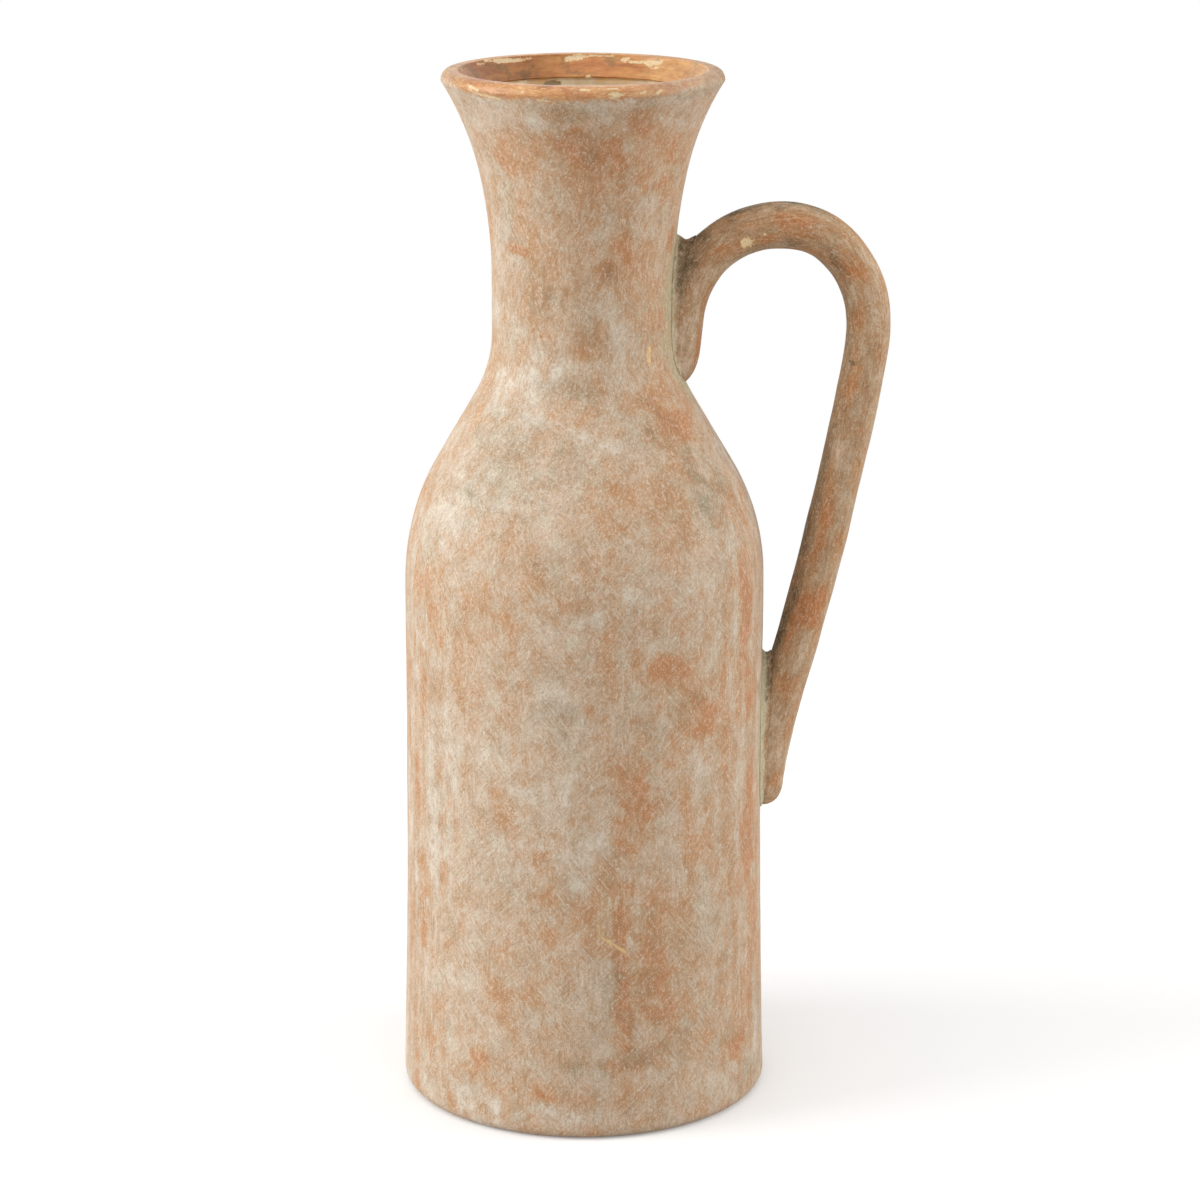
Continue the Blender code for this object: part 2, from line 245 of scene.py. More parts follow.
bpy.ops.mesh.primitive_plane_add(size=studio["floorSize"])
floor = bpy.context.object
floor.name = "studioFloor"
floorMaterial = bpy.data.materials.new("paleFloor")
floorMaterial.use_nodes = True
floorTree = floorMaterial.node_tree
floorTree.nodes.clear()
floorSeen = whiteForTheEye(floorTree)
floorPaint = blend(floorTree, floorSeen, (studio["bounce"],) * 3, (studio["floorColour"],) * 3)
floorDiffuse = addNode(floorTree, "BsdfDiffuse", {"Color": floorPaint})
glow = times(floorTree, floorSeen, studio["floorLift"])
floorGlow = addNode(floorTree, "Emission", {"Strength": glow})
nearFloor = addNode(floorTree, "AddShader", {0: floorDiffuse.outputs[0], 1: floorGlow.outputs[0]})
floorPlace = addNode(floorTree, "TexCoord").outputs["Object"]
fromJug = addNode(floorTree, "VectorMath", {0: floorPlace}, operation="LENGTH")
faraway = ramp(floorTree, fromJug.outputs["Value"], studio["nearEdge"], studio["farEdge"])
farFloor = addNode(floorTree, "Emission")
floorMix = addNode(floorTree, "MixShader", {
    0: times(floorTree, faraway, floorSeen), 1: nearFloor.outputs[0], 2: farFloor.outputs[0],
})
addNode(floorTree, "OutputMaterial", {"Surface": floorMix.outputs[0]})
floor.data.materials.append(floorMaterial)
print("camera, lamps and floor are set")


# The vessel's outline, as lists of (radius, height)

vessel = {
    "baseRadius": 0.0893,
    "baseCorner": 0.0055,
    "bodyRadius": 0.0863,
    "taperTop": 0.190,
    "taperSteps": 20,
    "bodyHeight": 0.257,
    "shoulderBend": 0.110,
    "shoulderLean": math.radians(30.5),
    "neckBend": 0.062,
    "neckRadius": 0.0433,
    "neckLength": 0.0261,
    "flareBend": 0.220,
    "flareLean": math.radians(13.0),
    "mouthRadius": 0.0665,
    "mouthLean": math.radians(31.5),
    "floorThickness": 0.010,
    "bodyWall": 0.008,
    "neckWall": 0.0065,
    "innerCorner": 0.009,
    "seamDrop": 0.042,
    "arcStep": math.radians(2.0),
}


def bend(path, radius, leanFrom, leanTo):
    startR, startZ = path[-1]
    sweep = leanTo - leanFrom
    turn = math.copysign(radius, sweep)
    steps = max(2, math.ceil(abs(sweep) / vessel["arcStep"]))
    for i in range(1, steps + 1):
        lean = leanFrom + sweep * i / steps
        r = startR + turn * (math.cos(leanFrom) - math.cos(lean))
        z = startZ + turn * (math.sin(lean) - math.sin(leanFrom))
        path.append((r, z))


def outerOutline():
    # From the top of the base's corner to the widest line of the lip, and the height of the throat
    v = vessel
    path = []
    taper = v["baseRadius"] - v["bodyRadius"]
    for i in range(v["taperSteps"] + 1):
        z = v["baseCorner"] + (v["taperTop"] - v["baseCorner"]) * i / v["taperSteps"]
        path.append((v["bodyRadius"] + taper * (1.0 - z / v["taperTop"]) ** 2, z))
    path.append((v["bodyRadius"], v["bodyHeight"]))
    bend(path, v["shoulderBend"], 0.0, -v["shoulderLean"])
    slopeEnd = v["neckRadius"] + v["neckBend"] * (1.0 - math.cos(v["shoulderLean"]))
    path.append((slopeEnd, path[-1][1] + (path[-1][0] - slopeEnd) / math.tan(v["shoulderLean"])))
    bend(path, v["neckBend"], -v["shoulderLean"], 0.0)
    throat = path[-1][1]
    path.append((v["neckRadius"], throat + v["neckLength"]))
    bend(path, v["flareBend"], 0.0, v["flareLean"])
    mouthBend = (v["mouthRadius"] - path[-1][0]) / (math.cos(v["flareLean"]) - math.cos(v["mouthLean"]))
    bend(path, mouthBend, v["flareLean"], v["mouthLean"])
    return path, throat


def offset(path, distance):
    # Moves a rising outline sideways by distance(height), outwards where that is positive
    moved = []
    for i, (r, z) in enumerate(path):
        before = path[max(i - 1, 0)]
        after = path[min(i + 1, len(path) - 1)]
        along = Vector((after[0] - before[0], after[1] - before[1])).normalized()
        moved.append((r + along.y * distance(z), z - along.x * distance(z)))
    return moved


def radiusAt(path, height):
    for (r0, z0), (r1, z1) in zip(path, path[1:]):
        if z0 <= height <= z1:
            return r0 + (r1 - r0) * (height - z0) / (z1 - z0)
    return path[0][0] if height < path[0][1] else path[-1][0]


def between(path, low, high):
    inside = [(r, z) for r, z in path if low < z < high]
    return [(radiusAt(path, low), low)] + inside + [(radiusAt(path, high), high)]


def quarter(centreR, centreZ, reachR, reachZ, start, steps):
    points = []
    for i in range(steps + 1):
        angle = start - 0.5 * math.pi * i / steps
        points.append((centreR + reachR * math.cos(angle), centreZ + reachZ * math.sin(angle)))
    return points


def divided(path, spacing):
    # The same outline with no step longer than the spacing
    fine = [path[0]]
    for (r0, z0), (r1, z1) in zip(path, path[1:]):
        steps = max(1, math.ceil(math.hypot(r1 - r0, z1 - z0) / spacing))
        for i in range(1, steps + 1):
            fine.append((r0 + (r1 - r0) * i / steps, z0 + (z1 - z0) * i / steps))
    return fine


def innerThickness(z):
    share = min(max((z - vessel["bodyHeight"]) / (throat - vessel["bodyHeight"]), 0.0), 1.0)
    return -(vessel["bodyWall"] + (vessel["neckWall"] - vessel["bodyWall"]) * share)


def turnPiece(name, outline, segments):
    # A point is extruded along the outline at +X, and the line is spun once round the axis
    deselectAll()
    radius, height = outline[0]
    bpy.ops.mesh.primitive_plane_add(size=0.001, location=(radius, 0.0, height))
    piece = bpy.context.object
    piece.name = piece.data.name = name
    bpy.ops.object.transform_apply(location=True, rotation=True, scale=True)
    editMode()
    bpy.ops.mesh.select_all(action="SELECT")
    bpy.ops.mesh.merge(type="CENTER")
    for (r0, z0), (r1, z1) in zip(outline, outline[1:]):
        bpy.ops.mesh.extrude_vertices_move(TRANSFORM_OT_translate={"value": (r1 - r0, 0.0, z1 - z0)})
    bpy.ops.mesh.select_all(action="SELECT")
    bpy.ops.mesh.spin(steps=segments, angle=2.0 * math.pi, center=(0.0, 0.0, 0.0), axis=(0.0, 0.0, 1.0))
    tidyMesh()
    return piece


def tidyMesh(weld=0.000002):
    bpy.ops.mesh.select_all(action="SELECT")
    bpy.ops.mesh.remove_doubles(threshold=weld)
    bpy.ops.mesh.normals_make_consistent(inside=False)
    objectMode()


def subdivide(piece, levels):
    softening = piece.modifiers.new("softening", "SUBSURF")
    softening.levels = softening.render_levels = levels
    bpy.ops.object.modifier_apply(modifier=softening.name)


wall, throat = outerOutline()
inside = offset(wall, innerThickness)
seam = throat - vessel["seamDrop"]
halfGap = 0.00015
bodyTop = seam + halfGap  # the CAD's gap is closed at its middle: the real clay is one wall here
support = 0.0003  # a ring this close to a joint keeps the shading level across it

# How far the hand-made wall strays from the true round, as (height, outwards on the left, on the right)
stray = [
    (0.000, 0.0002, 0.0000),
    (0.043, 0.0003, 0.0000),
    (0.150, 0.0000, 0.0000),
    (0.250, -0.0001, 0.0003),
    (0.275, -0.0004, 0.0003),
    (0.320, 0.0000, 0.0000),
    (0.385, 0.0002, 0.0000),
    (0.430, 0.0000, 0.0000),
    (0.484, 0.0000, -0.0004),
    (0.500, 0.0000, -0.0003),
]
handwork = {
    "wave": 0.00022, "waveSize": 0.060,
    "dent": 0.00007, "dentSize": 0.014,
    "levelBase": 0.012, "still": 0.005,
}


def strayAt(height):
    for (z0, left0, right0), (z1, left1, right1) in zip(stray, stray[1:]):
        if height <= z1:
            share = smoothStep(z0, z1, height)
            return left0 + (left1 - left0) * share, right0 + (right1 - right0) * share
    return stray[-1][1:]


def handMade(place):
    # Outward shift of the wall at a place
    left, right = strayAt(place.z)
    east = place.x / max(math.hypot(place.x, place.y), 0.001)
    shift = left * max(-east, 0.0) ** 2 + right * max(east, 0.0) ** 2
    shift += handwork["wave"] * noise.noise(place / handwork["waveSize"])
    shift += handwork["dent"] * noise.noise(place / handwork["dentSize"] + Vector((7.0, 3.0, 5.0)))
    return shift


def roughen(piece):
    # Every ring of the wall strays a little, as thrown and brushed clay does; the base stays flat
    for vertex in piece.data.vertices:
        place = vertex.co
        radius = math.hypot(place.x, place.y)
        if radius < handwork["still"]:
            continue
        settle = smoothStep(0.0, handwork["levelBase"], place.z)
        shift = handMade(place) * settle
        place.x += place.x / radius * shift
        place.y += place.y / radius * shift


# Body: floor, wall and shoulder

body = {"segments": 224, "spacing": 0.0026, "innerSpacing": 0.007, "floorRings": (0.030, 0.060)}

outer, inner = vessel["baseCorner"], vessel["innerCorner"]
outside = between(wall, outer, bodyTop)
foot = quarter(outside[0][0] - outer, outer, outer, outer, 0.0, steps=8)
hollow = between(inside, vessel["floorThickness"] + inner, bodyTop)
cornerR, cornerZ = hollow[0]
corner = quarter(cornerR - inner, cornerZ, inner, inner, 0.0, steps=6)
underside = [(0.0, 0.0)] + [(ring, 0.0) for ring in body["floorRings"]] + foot[::-1]
outside = between(outside, outside[0][1], bodyTop - support)
top = [(radiusAt(wall, bodyTop), bodyTop), (radiusAt(inside, bodyTop), bodyTop)]
floorTop = [(body["floorRings"][0], vessel["floorThickness"]), (0.0, vessel["floorThickness"])]
bodyOutline = (
    underside + divided(outside, body["spacing"])[1:] + top
    + divided(hollow[::-1], body["innerSpacing"])[1:] + corner[1:] + floorTop
)
bodyWall = turnPiece("bodyWall", bodyOutline, body["segments"])
roughen(bodyWall)
print("body:", len(bodyWall.data.vertices), "points")


# Neck: the collar between shoulder and lip

neck = {"segments": 224, "spacing": 0.0019, "innerSpacing": 0.0030, "swellHeight": 0.045}
rim = {
    "height": 0.0140, "lipDrop": 0.0046, "lipRound": 0.0039, "flat": 0.0038, "edge": 0.0009,
    "slopeWidth": 0.0075, "slopeDrop": 0.0100, "nose": 0.0007, "groove": 0.0012, "setBack": 0.0006,
    "segments": 448, "spacing": 0.0008,
}
seat = wall[-1][1] + rim["lipDrop"] - rim["height"] + halfGap
flatEnd = vessel["mouthRadius"] - rim["lipRound"] - rim["flat"]
noseR = flatEnd - rim["edge"] - rim["slopeWidth"]
throatWall = noseR + rim["setBack"]


def thickened(z):
    # The clay swells inwards below the rim, until it is almost level with the rim's slope
    return (radiusAt(inside, seat) - throatWall) * smoothStep(seat - neck["swellHeight"], seat, z)


outside = between(wall, bodyTop, seat)
middleWall = divided(between(wall, bodyTop + support, seat - support), neck["spacing"])
outside = [outside[0]] + middleWall + [outside[-1]]
hollow = divided(between(inside, bodyTop, seat), neck["innerSpacing"])[::-1]
hollow = [(r - thickened(z), z) for r, z in hollow]
neckWall = turnPiece("neckWall", outside + hollow + [outside[0]], neck["segments"])
roughen(neckWall)
print("neck:", len(neckWall.data.vertices), "points")


# Rim: a rounded lip, a narrow flat on top and a slope that overhangs the neck's inside

outside = between(wall, seat, wall[-1][1])
widestR, widestZ = wall[-1]
lipTop = widestZ + rim["lipDrop"]
lip = quarter(widestR - rim["lipRound"], widestZ, rim["lipRound"], rim["lipDrop"], math.pi / 2, steps=12)
edge = quarter(flatEnd, lipTop - rim["edge"], rim["edge"], rim["edge"], math.pi, steps=5)
noseZ = lipTop - rim["slopeDrop"]
groove = rim["groove"]
grooveTop = noseZ - rim["nose"]
nose = [  # the slope's lower edge and the groove under it
    (noseR, noseZ), (noseR + 0.3 * rim["nose"], noseZ - 0.8 * rim["nose"]),
    (noseR + groove, grooveTop - 0.2 * groove), (noseR + 1.15 * groove, grooveTop - 0.6 * groove),
    (noseR + 0.9 * groove, grooveTop - groove), (throatWall, grooveTop - 1.2 * groove),
]
outerSide = [outside[0]] + between(wall, seat + support, widestZ)
upperSide = lip[::-1][1:] + edge[::-1]
rimOutline = divided(outerSide + upperSide + nose + [(throatWall, seat), outside[0]], rim["spacing"])
rimRing = turnPiece("rimRing", rimOutline, rim["segments"])
roughen(rimRing)
print("rim:", len(rimRing.data.vertices), "points")


# Handle: a round rod drawn along its route, ring by ring

handle = {
    "rod": 0.0107, "leg": 0.0104, "sag": 0.0012,
    "reach": 0.1353, "rise": 0.0495, "rootHeight": 0.165,
    "segments": 24, "stepsPerSpan": 3, "fineSteps": 40, "levels": 2, "bury": 0.0007,
    "knead": 0.00030, "kneadSize": 0.022, "ripple": 0.00010, "rippleSize": 0.007, "core": 0.002,
}


def handleRoute():
    # (distance from the axis, height, radius of the rod), from inside the neck to inside the body
    neckR = radiusAt(wall, throat)
    bodyR = radiusAt(wall, handle["rootHeight"])
    crown = throat + handle["rise"]
    root = handle["rootHeight"]
    reach = handle["reach"]
    full, slim = handle["rod"], handle["leg"]
    upperTail = [
        (neckR - 0.0046, throat - 0.0236, 0.30 * full),
        (neckR - 0.0032, throat - 0.0224, 0.66 * full),
        (neckR - 0.0013, throat - 0.0196, 0.88 * full),
        (neckR + 0.0005, throat - 0.0142, 0.99 * full),
        (neckR + 0.0015, throat - 0.0078, full),
        (neckR + 0.0025, throat + 0.0012, full),
        (neckR + 0.0040, throat + 0.0122, full),
    ]
    bow = [
        (neckR + 0.0082, crown - 0.0253, full),
        (neckR + 0.0172, crown - 0.0128, full),
        (reach - 0.0600, crown - 0.0030, 1.02 * full),
        (reach - 0.0424, crown + 0.0004, 1.035 * full),
        (reach - 0.0240, crown - 0.0033, 1.02 * full),
        (reach - 0.0099, crown - 0.0161, full),
        (reach - 0.0021, crown - 0.0317, full),
        (reach, crown - 0.0483, slim),
        (reach - 0.0018, crown - 0.0663, slim),
    ]
    lowerTail = [
        (bodyR + 0.0172, root + 0.0590, slim),
        (bodyR + 0.0117, root + 0.0390, slim),
        (bodyR + 0.0063, root + 0.0190, slim),
        (bodyR + 0.0023, root, full),
        (bodyR + 0.0009, root - 0.0092, full),
        (bodyR + 0.0003, root - 0.0150, 0.99 * full),
        (bodyR - 0.0006, root - 0.0184, 0.88 * full),
        (bodyR - 0.0018, root - 0.0200, 0.58 * full),
        (bodyR - 0.0038, root - 0.0208, 0.25 * full),
    ]
    upperTail, bow, lowerTail = ([Vector(point) for point in part] for part in (upperTail, bow, lowerTail))
    sag = Vector((handle["sag"], 0.0, 0.0))
    leg = [bow[-1].lerp(lowerTail[0], third / 3.0) + sag for third in (1, 2)]
    return upperTail + bow + leg + lowerTail


def smoothPath(points, steps):
    # A centripetal Catmull-Rom curve through the points, with the ends carried on straight
    chain = [2 * points[0] - points[1]] + points + [2 * points[-1] - points[-2]]
    path = []
    for a, b, c, d in zip(chain, chain[1:], chain[2:], chain[3:]):
        t1 = (b - a).length ** 0.5
        t2 = t1 + (c - b).length ** 0.5
        t3 = t2 + (d - c).length ** 0.5
        for i in range(steps):
            t = t1 + (t2 - t1) * i / steps
            ab = a.lerp(b, t / t1)
            bc = b.lerp(c, (t - t1) / (t2 - t1))
            cd = c.lerp(d, (t - t2) / (t3 - t2))
            path.append(ab.lerp(bc, t / t2).lerp(bc.lerp(cd, (t - t1) / (t3 - t1)), (t - t1) / (t2 - t1)))
    path.append(points[-1])
    return path


route = smoothPath(handleRoute(), handle["stepsPerSpan"])
headings = []
for i in range(len(route)):
    step = route[min(i + 1, len(route) - 1)] - route[max(i - 1, 0)]
    headings.append(math.atan2(step.y, step.x))

# The cage is a little larger than the rod, because subdivision draws it in
cageShare = 1.0 + (1.0 - math.cos(2.0 * math.pi / handle["segments"])) / 3.0
deselectAll()
start = route[0]
bpy.ops.mesh.primitive_circle_add(
    vertices=handle["segments"],
    radius=start.z * cageShare,
    location=(start.x, 0.0, start.y),
    rotation=(0.0, math.pi / 2 - headings[0], 0.0),
)
handleRod = bpy.context.object
handleRod.name = handleRod.data.name = "handleRod"
bpy.ops.object.transform_apply(location=True, rotation=True, scale=True)
editMode()
bpy.ops.mesh.select_all(action="SELECT")
for i in range(1, len(route)):
    here, there = route[i - 1], route[i]
    centre = (there.x, 0.0, there.y)
    onwards = (there.x - here.x, 0.0, there.y - here.y)
    bpy.ops.mesh.extrude_edges_move(TRANSFORM_OT_translate={"value": onwards})
    turn = (headings[i] - headings[i - 1] + math.pi) % (2 * math.pi) - math.pi
    bpy.ops.transform.rotate(value=turn, orient_axis="Y", orient_type="GLOBAL", center_override=centre)
    bpy.ops.transform.resize(value=(there.z / here.z,) * 3, center_override=centre)
bpy.ops.mesh.select_all(action="DESELECT")
bpy.ops.mesh.select_mode(type="EDGE")
bpy.ops.mesh.select_non_manifold(
    extend=False, use_wire=False, use_multi_face=False, use_non_contiguous=False,
)
bpy.ops.mesh.edge_collapse()
bpy.ops.mesh.select_mode(type="VERT")
tidyMesh()
pickOnly(handleRod)
subdivide(handleRod, handle["levels"])

# The rod's centre line in fine steps, for the places on and beside it
fineRoute = smoothPath(handleRoute(), handle["fineSteps"])
fineLengths = [0.0]
routeTree = KDTree(len(fineRoute))
for i, station in enumerate(fineRoute):
    routeTree.insert((station.x, 0.0, station.y), i)
    if i:
        fineLengths.append(fineLengths[-1] + (station.xy - fineRoute[i - 1].xy).length)
routeTree.balance()


def rodFrame(place):
    # Centre, direction, length so far and rod radius at the station nearest to a place
    centre, i, distance = routeTree.find((place.x, 0.0, place.z))
    step = fineRoute[min(i + 1, len(fineRoute) - 1)].xy - fineRoute[max(i - 1, 0)].xy
    step.normalize()
    return centre, Vector((step.x, 0.0, step.y)), fineLengths[i], fineRoute[i].z


probe = 0.001  # half the height over which the wall's lean is measured


def wallGap(place):
    # Distance from the outer wall, outside positive, and the wall's outward direction there
    radius = max(math.hypot(place.x, place.y), 0.001)
    lean = (radiusAt(wall, place.z + probe) - radiusAt(wall, place.z - probe)) / (2.0 * probe)
    level = math.cos(math.atan(lean))
    outward = Vector((place.x / radius * level, place.y / radius * level, -level * lean))
    return (radius - radiusAt(wall, place.z)) * level, outward


def rodGap(place):
    centre, along, length, rodRadius = rodFrame(place)
    aside = place - centre
    aside -= along * aside.dot(along)
    return aside.length - rodRadius, aside.normalized()


def inRodSpace(place):
    # The place in a straightened rod, so that brush strokes can follow the bend
    centre, along, length, rodRadius = rodFrame(place)
    away = place - centre
    return Vector((away.dot(Vector((-along.z, 0.0, along.x))), away.y, length + away.dot(along)))


def rememberRodPlace(piece):
    rodPlace = piece.data.attributes.new("rodPlace", "FLOAT_VECTOR", "POINT")
    for vertex in piece.data.vertices:
        rodPlace.data[vertex.index].vector = inRodSpace(vertex.co)


rememberRodPlace(handleRod)
for vertex, remembered in zip(handleRod.data.vertices, handleRod.data.attributes["rodPlace"].data):
    straight = Vector(remembered.vector)
    swell = handle["knead"] * noise.noise(straight / handle["kneadSize"])
    swell += handle["ripple"] * noise.noise(straight / handle["rippleSize"])
    distance, aside = rodGap(vertex.co)
    if straight.xy.length > handle["core"]:
        vertex.co += aside * swell

# The tails are pressed on: what would reach into the wall is flattened just under its skin
for vertex in handleRod.data.vertices:
    distance, outward = wallGap(vertex.co)
    if distance < -handle["bury"]:
        vertex.co -= outward * (distance + handle["bury"])
print("handle:", len(handleRod.data.vertices), "points")


# Luting and seam coil: soft clay, kneaded from the frame's own shapes

softClay = {
    "upperLuting": {
        "node": "upper_luting", "swell": 0.00010, "lumps": 0.00022, "lumpSize": 0.0030, "levels": 2,
        "press": 0.00050, "lift": 0.0, "tuck": 0.0016, "climb": 0.0062,
    },
    "lowerLuting": {
        "node": "lower_luting", "swell": 0.00010, "lumps": 0.00022, "lumpSize": 0.0030, "levels": 2,
        "press": 0.00050, "lift": 0.0012, "tuck": 0.0, "climb": 0.0,
    },
    "seamCoil": {
        "node": "seam_coil", "swell": 0.0004, "lumps": 0.0009, "lumpSize": 0.010, "levels": 2,
        "press": 0.0, "lift": 0.0, "tuck": 0.0, "climb": 0.0,
    },
}
kneading = {
    "weld": 0.00001, "flatQuads": math.radians(40), "squareQuads": math.radians(60),
    "crease": math.radians(50), "skin": 0.0002, "open": 0.0016,
}
# How far below a luting's top each change starts and is full, and how far from the wall it ends
liftBand = (0.013, 0.006)
tuckBand, tuckDepth = (0.0040, 0.0005), (0.0006, 0.0026)
climbBand, climbWidth = (0.0050, 0.0010), 0.0072


def kneadedCopy(name, facts):
    pickOnly(frame["nodes"][facts["node"]])
    bpy.ops.object.duplicate()
    piece = bpy.context.object
    piece.name = piece.data.name = name
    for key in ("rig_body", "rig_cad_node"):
        if key in piece:
            del piece[key]
    piece.parent = None
    piece.data.materials.clear()
    editMode()
    bpy.ops.mesh.select_all(action="SELECT")
    bpy.ops.mesh.remove_doubles(threshold=kneading["weld"])
    bpy.ops.mesh.tris_convert_to_quads(
        face_threshold=kneading["flatQuads"], shape_threshold=kneading["squareQuads"],
    )
    bpy.ops.mesh.select_all(action="DESELECT")
    bpy.ops.mesh.select_mode(type="EDGE")
    bpy.ops.mesh.edges_select_sharp(sharpness=kneading["crease"])
    bpy.ops.transform.edge_crease(value=1.0)
    bpy.ops.mesh.select_mode(type="VERT")
    objectMode()
    subdivide(piece, facts["levels"])
    return piece


def knead(piece, facts):
    # Lumpy in the open; where it meets the wall or the rod its edge is pressed into them
    normals = [vertex.normal.copy() for vertex in piece.data.vertices]
    summit = max(vertex.co.z for vertex in piece.data.vertices)
    skin, free = kneading["skin"], kneading["open"]

    def nearTop(band, height):
        return smoothStep(summit - band[0], summit - band[1], height)

    for vertex, normal in zip(piece.data.vertices, normals):
        vertex.co.z += facts["lift"] * nearTop(liftBand, vertex.co.z)
        lump = facts["swell"] + facts["lumps"] * noise.noise(vertex.co / facts["lumpSize"])
        if facts["press"]:
            toWall, outward = wallGap(vertex.co)
            toRod, aside = rodGap(vertex.co)
            openness = smoothStep(0.0, free, min(toWall, toRod))
            vertex.co -= outward * facts["press"] * (1.0 - smoothStep(skin, free, toWall))
            vertex.co -= aside * facts["press"] * (1.0 - smoothStep(skin, free, toRod))
            atTop = nearTop(tuckBand, vertex.co.z) * (1.0 - smoothStep(*tuckDepth, toWall))
            vertex.co -= outward * facts["tuck"] * atTop
            upwards = nearTop(climbBand, vertex.co.z) * min(max(toWall / climbWidth, 0.0), 1.0)
            if facts["climb"] * upwards > 0.0:  # the clay slides up along the rod's skin
                beside = rodGap(vertex.co)[0]
                vertex.co += rodFrame(vertex.co)[1] * facts["climb"] * upwards
                away, aside = rodGap(vertex.co)
                vertex.co -= aside * (away - beside)
            lump *= openness
        vertex.co += normal * lump


kneaded = {}
for name, facts in softClay.items():
    kneaded[name] = kneadedCopy(name, facts)
    knead(kneaded[name], facts)
    print(name + ":", len(kneaded[name].data.vertices), "points")
lutings = (kneaded["upperLuting"], kneaded["lowerLuting"])
for piece in lutings:
    rememberRodPlace(piece)


# Wear by piece: flakes, scratches and pits that go through the wash, in mm and degrees:
# (x, y, z, half length, half width, lean of its length from level, depth, kind)

wear = {
    "rim": [
        (-36.5, 44.5, 498.6, 19.0, 1.5, 2, 0.45, "cream"),
        (-20.0, 52.5, 499.2, 9.0, 0.9, 2, 0.5, "cream"),
        (-46.5, 35.0, 497.6, 8.0, 0.9, 8, 0.2, "cream"),
        (-4.0, 57.0, 498.4, 6.2, 1.9, -8, 0.35, "cream"), (9.0, 57.0, 499.2, 8.0, 0.6, 0, 0.2, "cream"),
        (20.5, 53.4, 498.3, 3.6, 1.1, -20, 0.3, "cream"),
        (33.0, 45.2, 497.2, 6.4, 1.7, -6, 0.35, "cream"),
        (35.0, 42.0, 495.4, 3.4, 0.8, -14, 0.2, "cream"),
        (27.0, 49.0, 497.4, 8.0, 1.0, -6, 0.3, "cream"), (1.6, 50.5, 490.6, 2.2, 0.7, 0, 0.3, "cream"),
        (-57.0, 9.0, 498.9, 1.4, 0.8, 40, 0.25, "cream"),
        (-54.8, 6.0, 495.6, 0.6, 1.8, 0, 0.2, "cream"),
        (15.2, -64.5, 496.9, 5.8, 1.2, -2, 0.45, "cream"),
        (14.0, -64.8, 495.3, 2.8, 0.9, 0, 0.35, "cream"),
        (8.6, -65.5, 497.0, 1.5, 0.7, 0, 0.3, "cream"), (1.5, -65.1, 498.9, 2.8, 0.6, 0, 0.2, "cream"),
        (-33.0, -55.5, 494.2, 6.0, 0.8, -8, 0.35, "cream"),
        (49.0, -44.0, 494.6, 2.6, 0.8, 24, 0.3, "cream"),
        (14.0, -63.3, 499.2, 3.8, 0.5, 0, 0.2, "cream"),
        (-49.5, -43.6, 496.9, 4.6, 0.9, -12, 0.2, "cream"),
        (-47.6, -45.4, 494.6, 7.0, 1.0, -14, 0.2, "cream"),
        (-41.0, -50.8, 493.8, 6.4, 0.9, -10, 0.2, "cream"),
        (-27.3, -60.2, 497.2, 0.8, 0.8, 0, 0.2, "cream"),
        (-18.0, -62.9, 493.7, 4.4, 0.8, -6, 0.2, "cream"),
        (27.6, -60.0, 497.2, 1.9, 0.7, 10, 0.25, "cream"),
        (34.6, -56.5, 496.9, 2.8, 0.7, 20, 0.25, "cream"),
        (62.2, 22.0, 497.6, 4.2, 1.0, 5, 0.35, "cream"),
        (-15.0, 48.7, 486.7, 3.8, 1.8, 0, 0.15, "dark"),
        (20.0, 63.0, 496.6, 6.0, 1.1, -4, 0.35, "cream"),
        (-38.0, 54.0, 497.2, 3.6, 0.9, 12, 0.3, "cream"),
        (-64.5, 12.0, 497.0, 3.0, 0.8, 0, 0.25, "cream"),
    ],
    "neck": [
        (31.2, -30.9, 370.5, 5.2, 1.7, 82, 0.4, "yellow"),
        (-22.0, 38.0, 430.0, 4.6, 0.7, 64, 0.35, "yellow"),
    ],
    "body": [
        (7.2, -86.6, 106.3, 3.2, 0.95, 100, 0.4, "yellow"),
        (10.6, -86.2, 101.0, 4.4, 0.9, 142, 0.35, "yellow"),
        (17.0, -85.3, 96.4, 4.4, 0.95, 145, 0.3, "yellow"),
        (60.0, 61.8, 212.0, 5.0, 0.7, 70, 0.35, "yellow"),
        (-52.0, 69.0, 118.0, 5.4, 0.7, 35, 0.35, "yellow"),
        (-30.0, 81.0, 268.0, 2.4, 1.5, 20, 0.35, "yellow"),
    ],
    "handle": [
        (77.2, -10.3, 419.6, 3.3, 3.1, 60, 0.55, "cream"),
        (76.4, -10.0, 423.2, 2.4, 1.6, 10, 0.4, "none"),
        (85.1, -10.5, 424.1, 0.8, 0.9, 0, 0.25, "cream"),
        (128.2, -7.6, 361.8, 3.0, 1.5, -20, 0.6, "dark"),
        (126.0, -8.2, 363.4, 2.4, 1.4, -30, 0.3, "none"),
        (125.0, -8.4, 363.8, 1.6, 0.9, 20, 0.3, "cream"),
        (118.0, 9.0, 316.0, 2.6, 1.6, 60, 0.45, "cream"), (64.0, 9.5, 421.0, 2.4, 1.2, 20, 0.4, "dark"),
    ],
}
wearPieces = {"rim": rimRing, "neck": neckWall, "body": bodyWall, "handle": handleRod}
wearDetail = {"neck": 3, "body": 4, "handle": 2}  # cuts that refine a mesh too coarse for its scratches
wearEdge = {
    "coarse": 0.0030, "coarseShare": 0.50, "fine": 0.0011, "fineShare": 0.36,
    "full": 0.55, "gone": 1.25, "sinkFrom": 0.3, "sinkTo": 0.8, "search": 1.6, "margin": 0.002,
}
perMetre = 1000.0  # flakes, scratches and stains are listed in millimetres


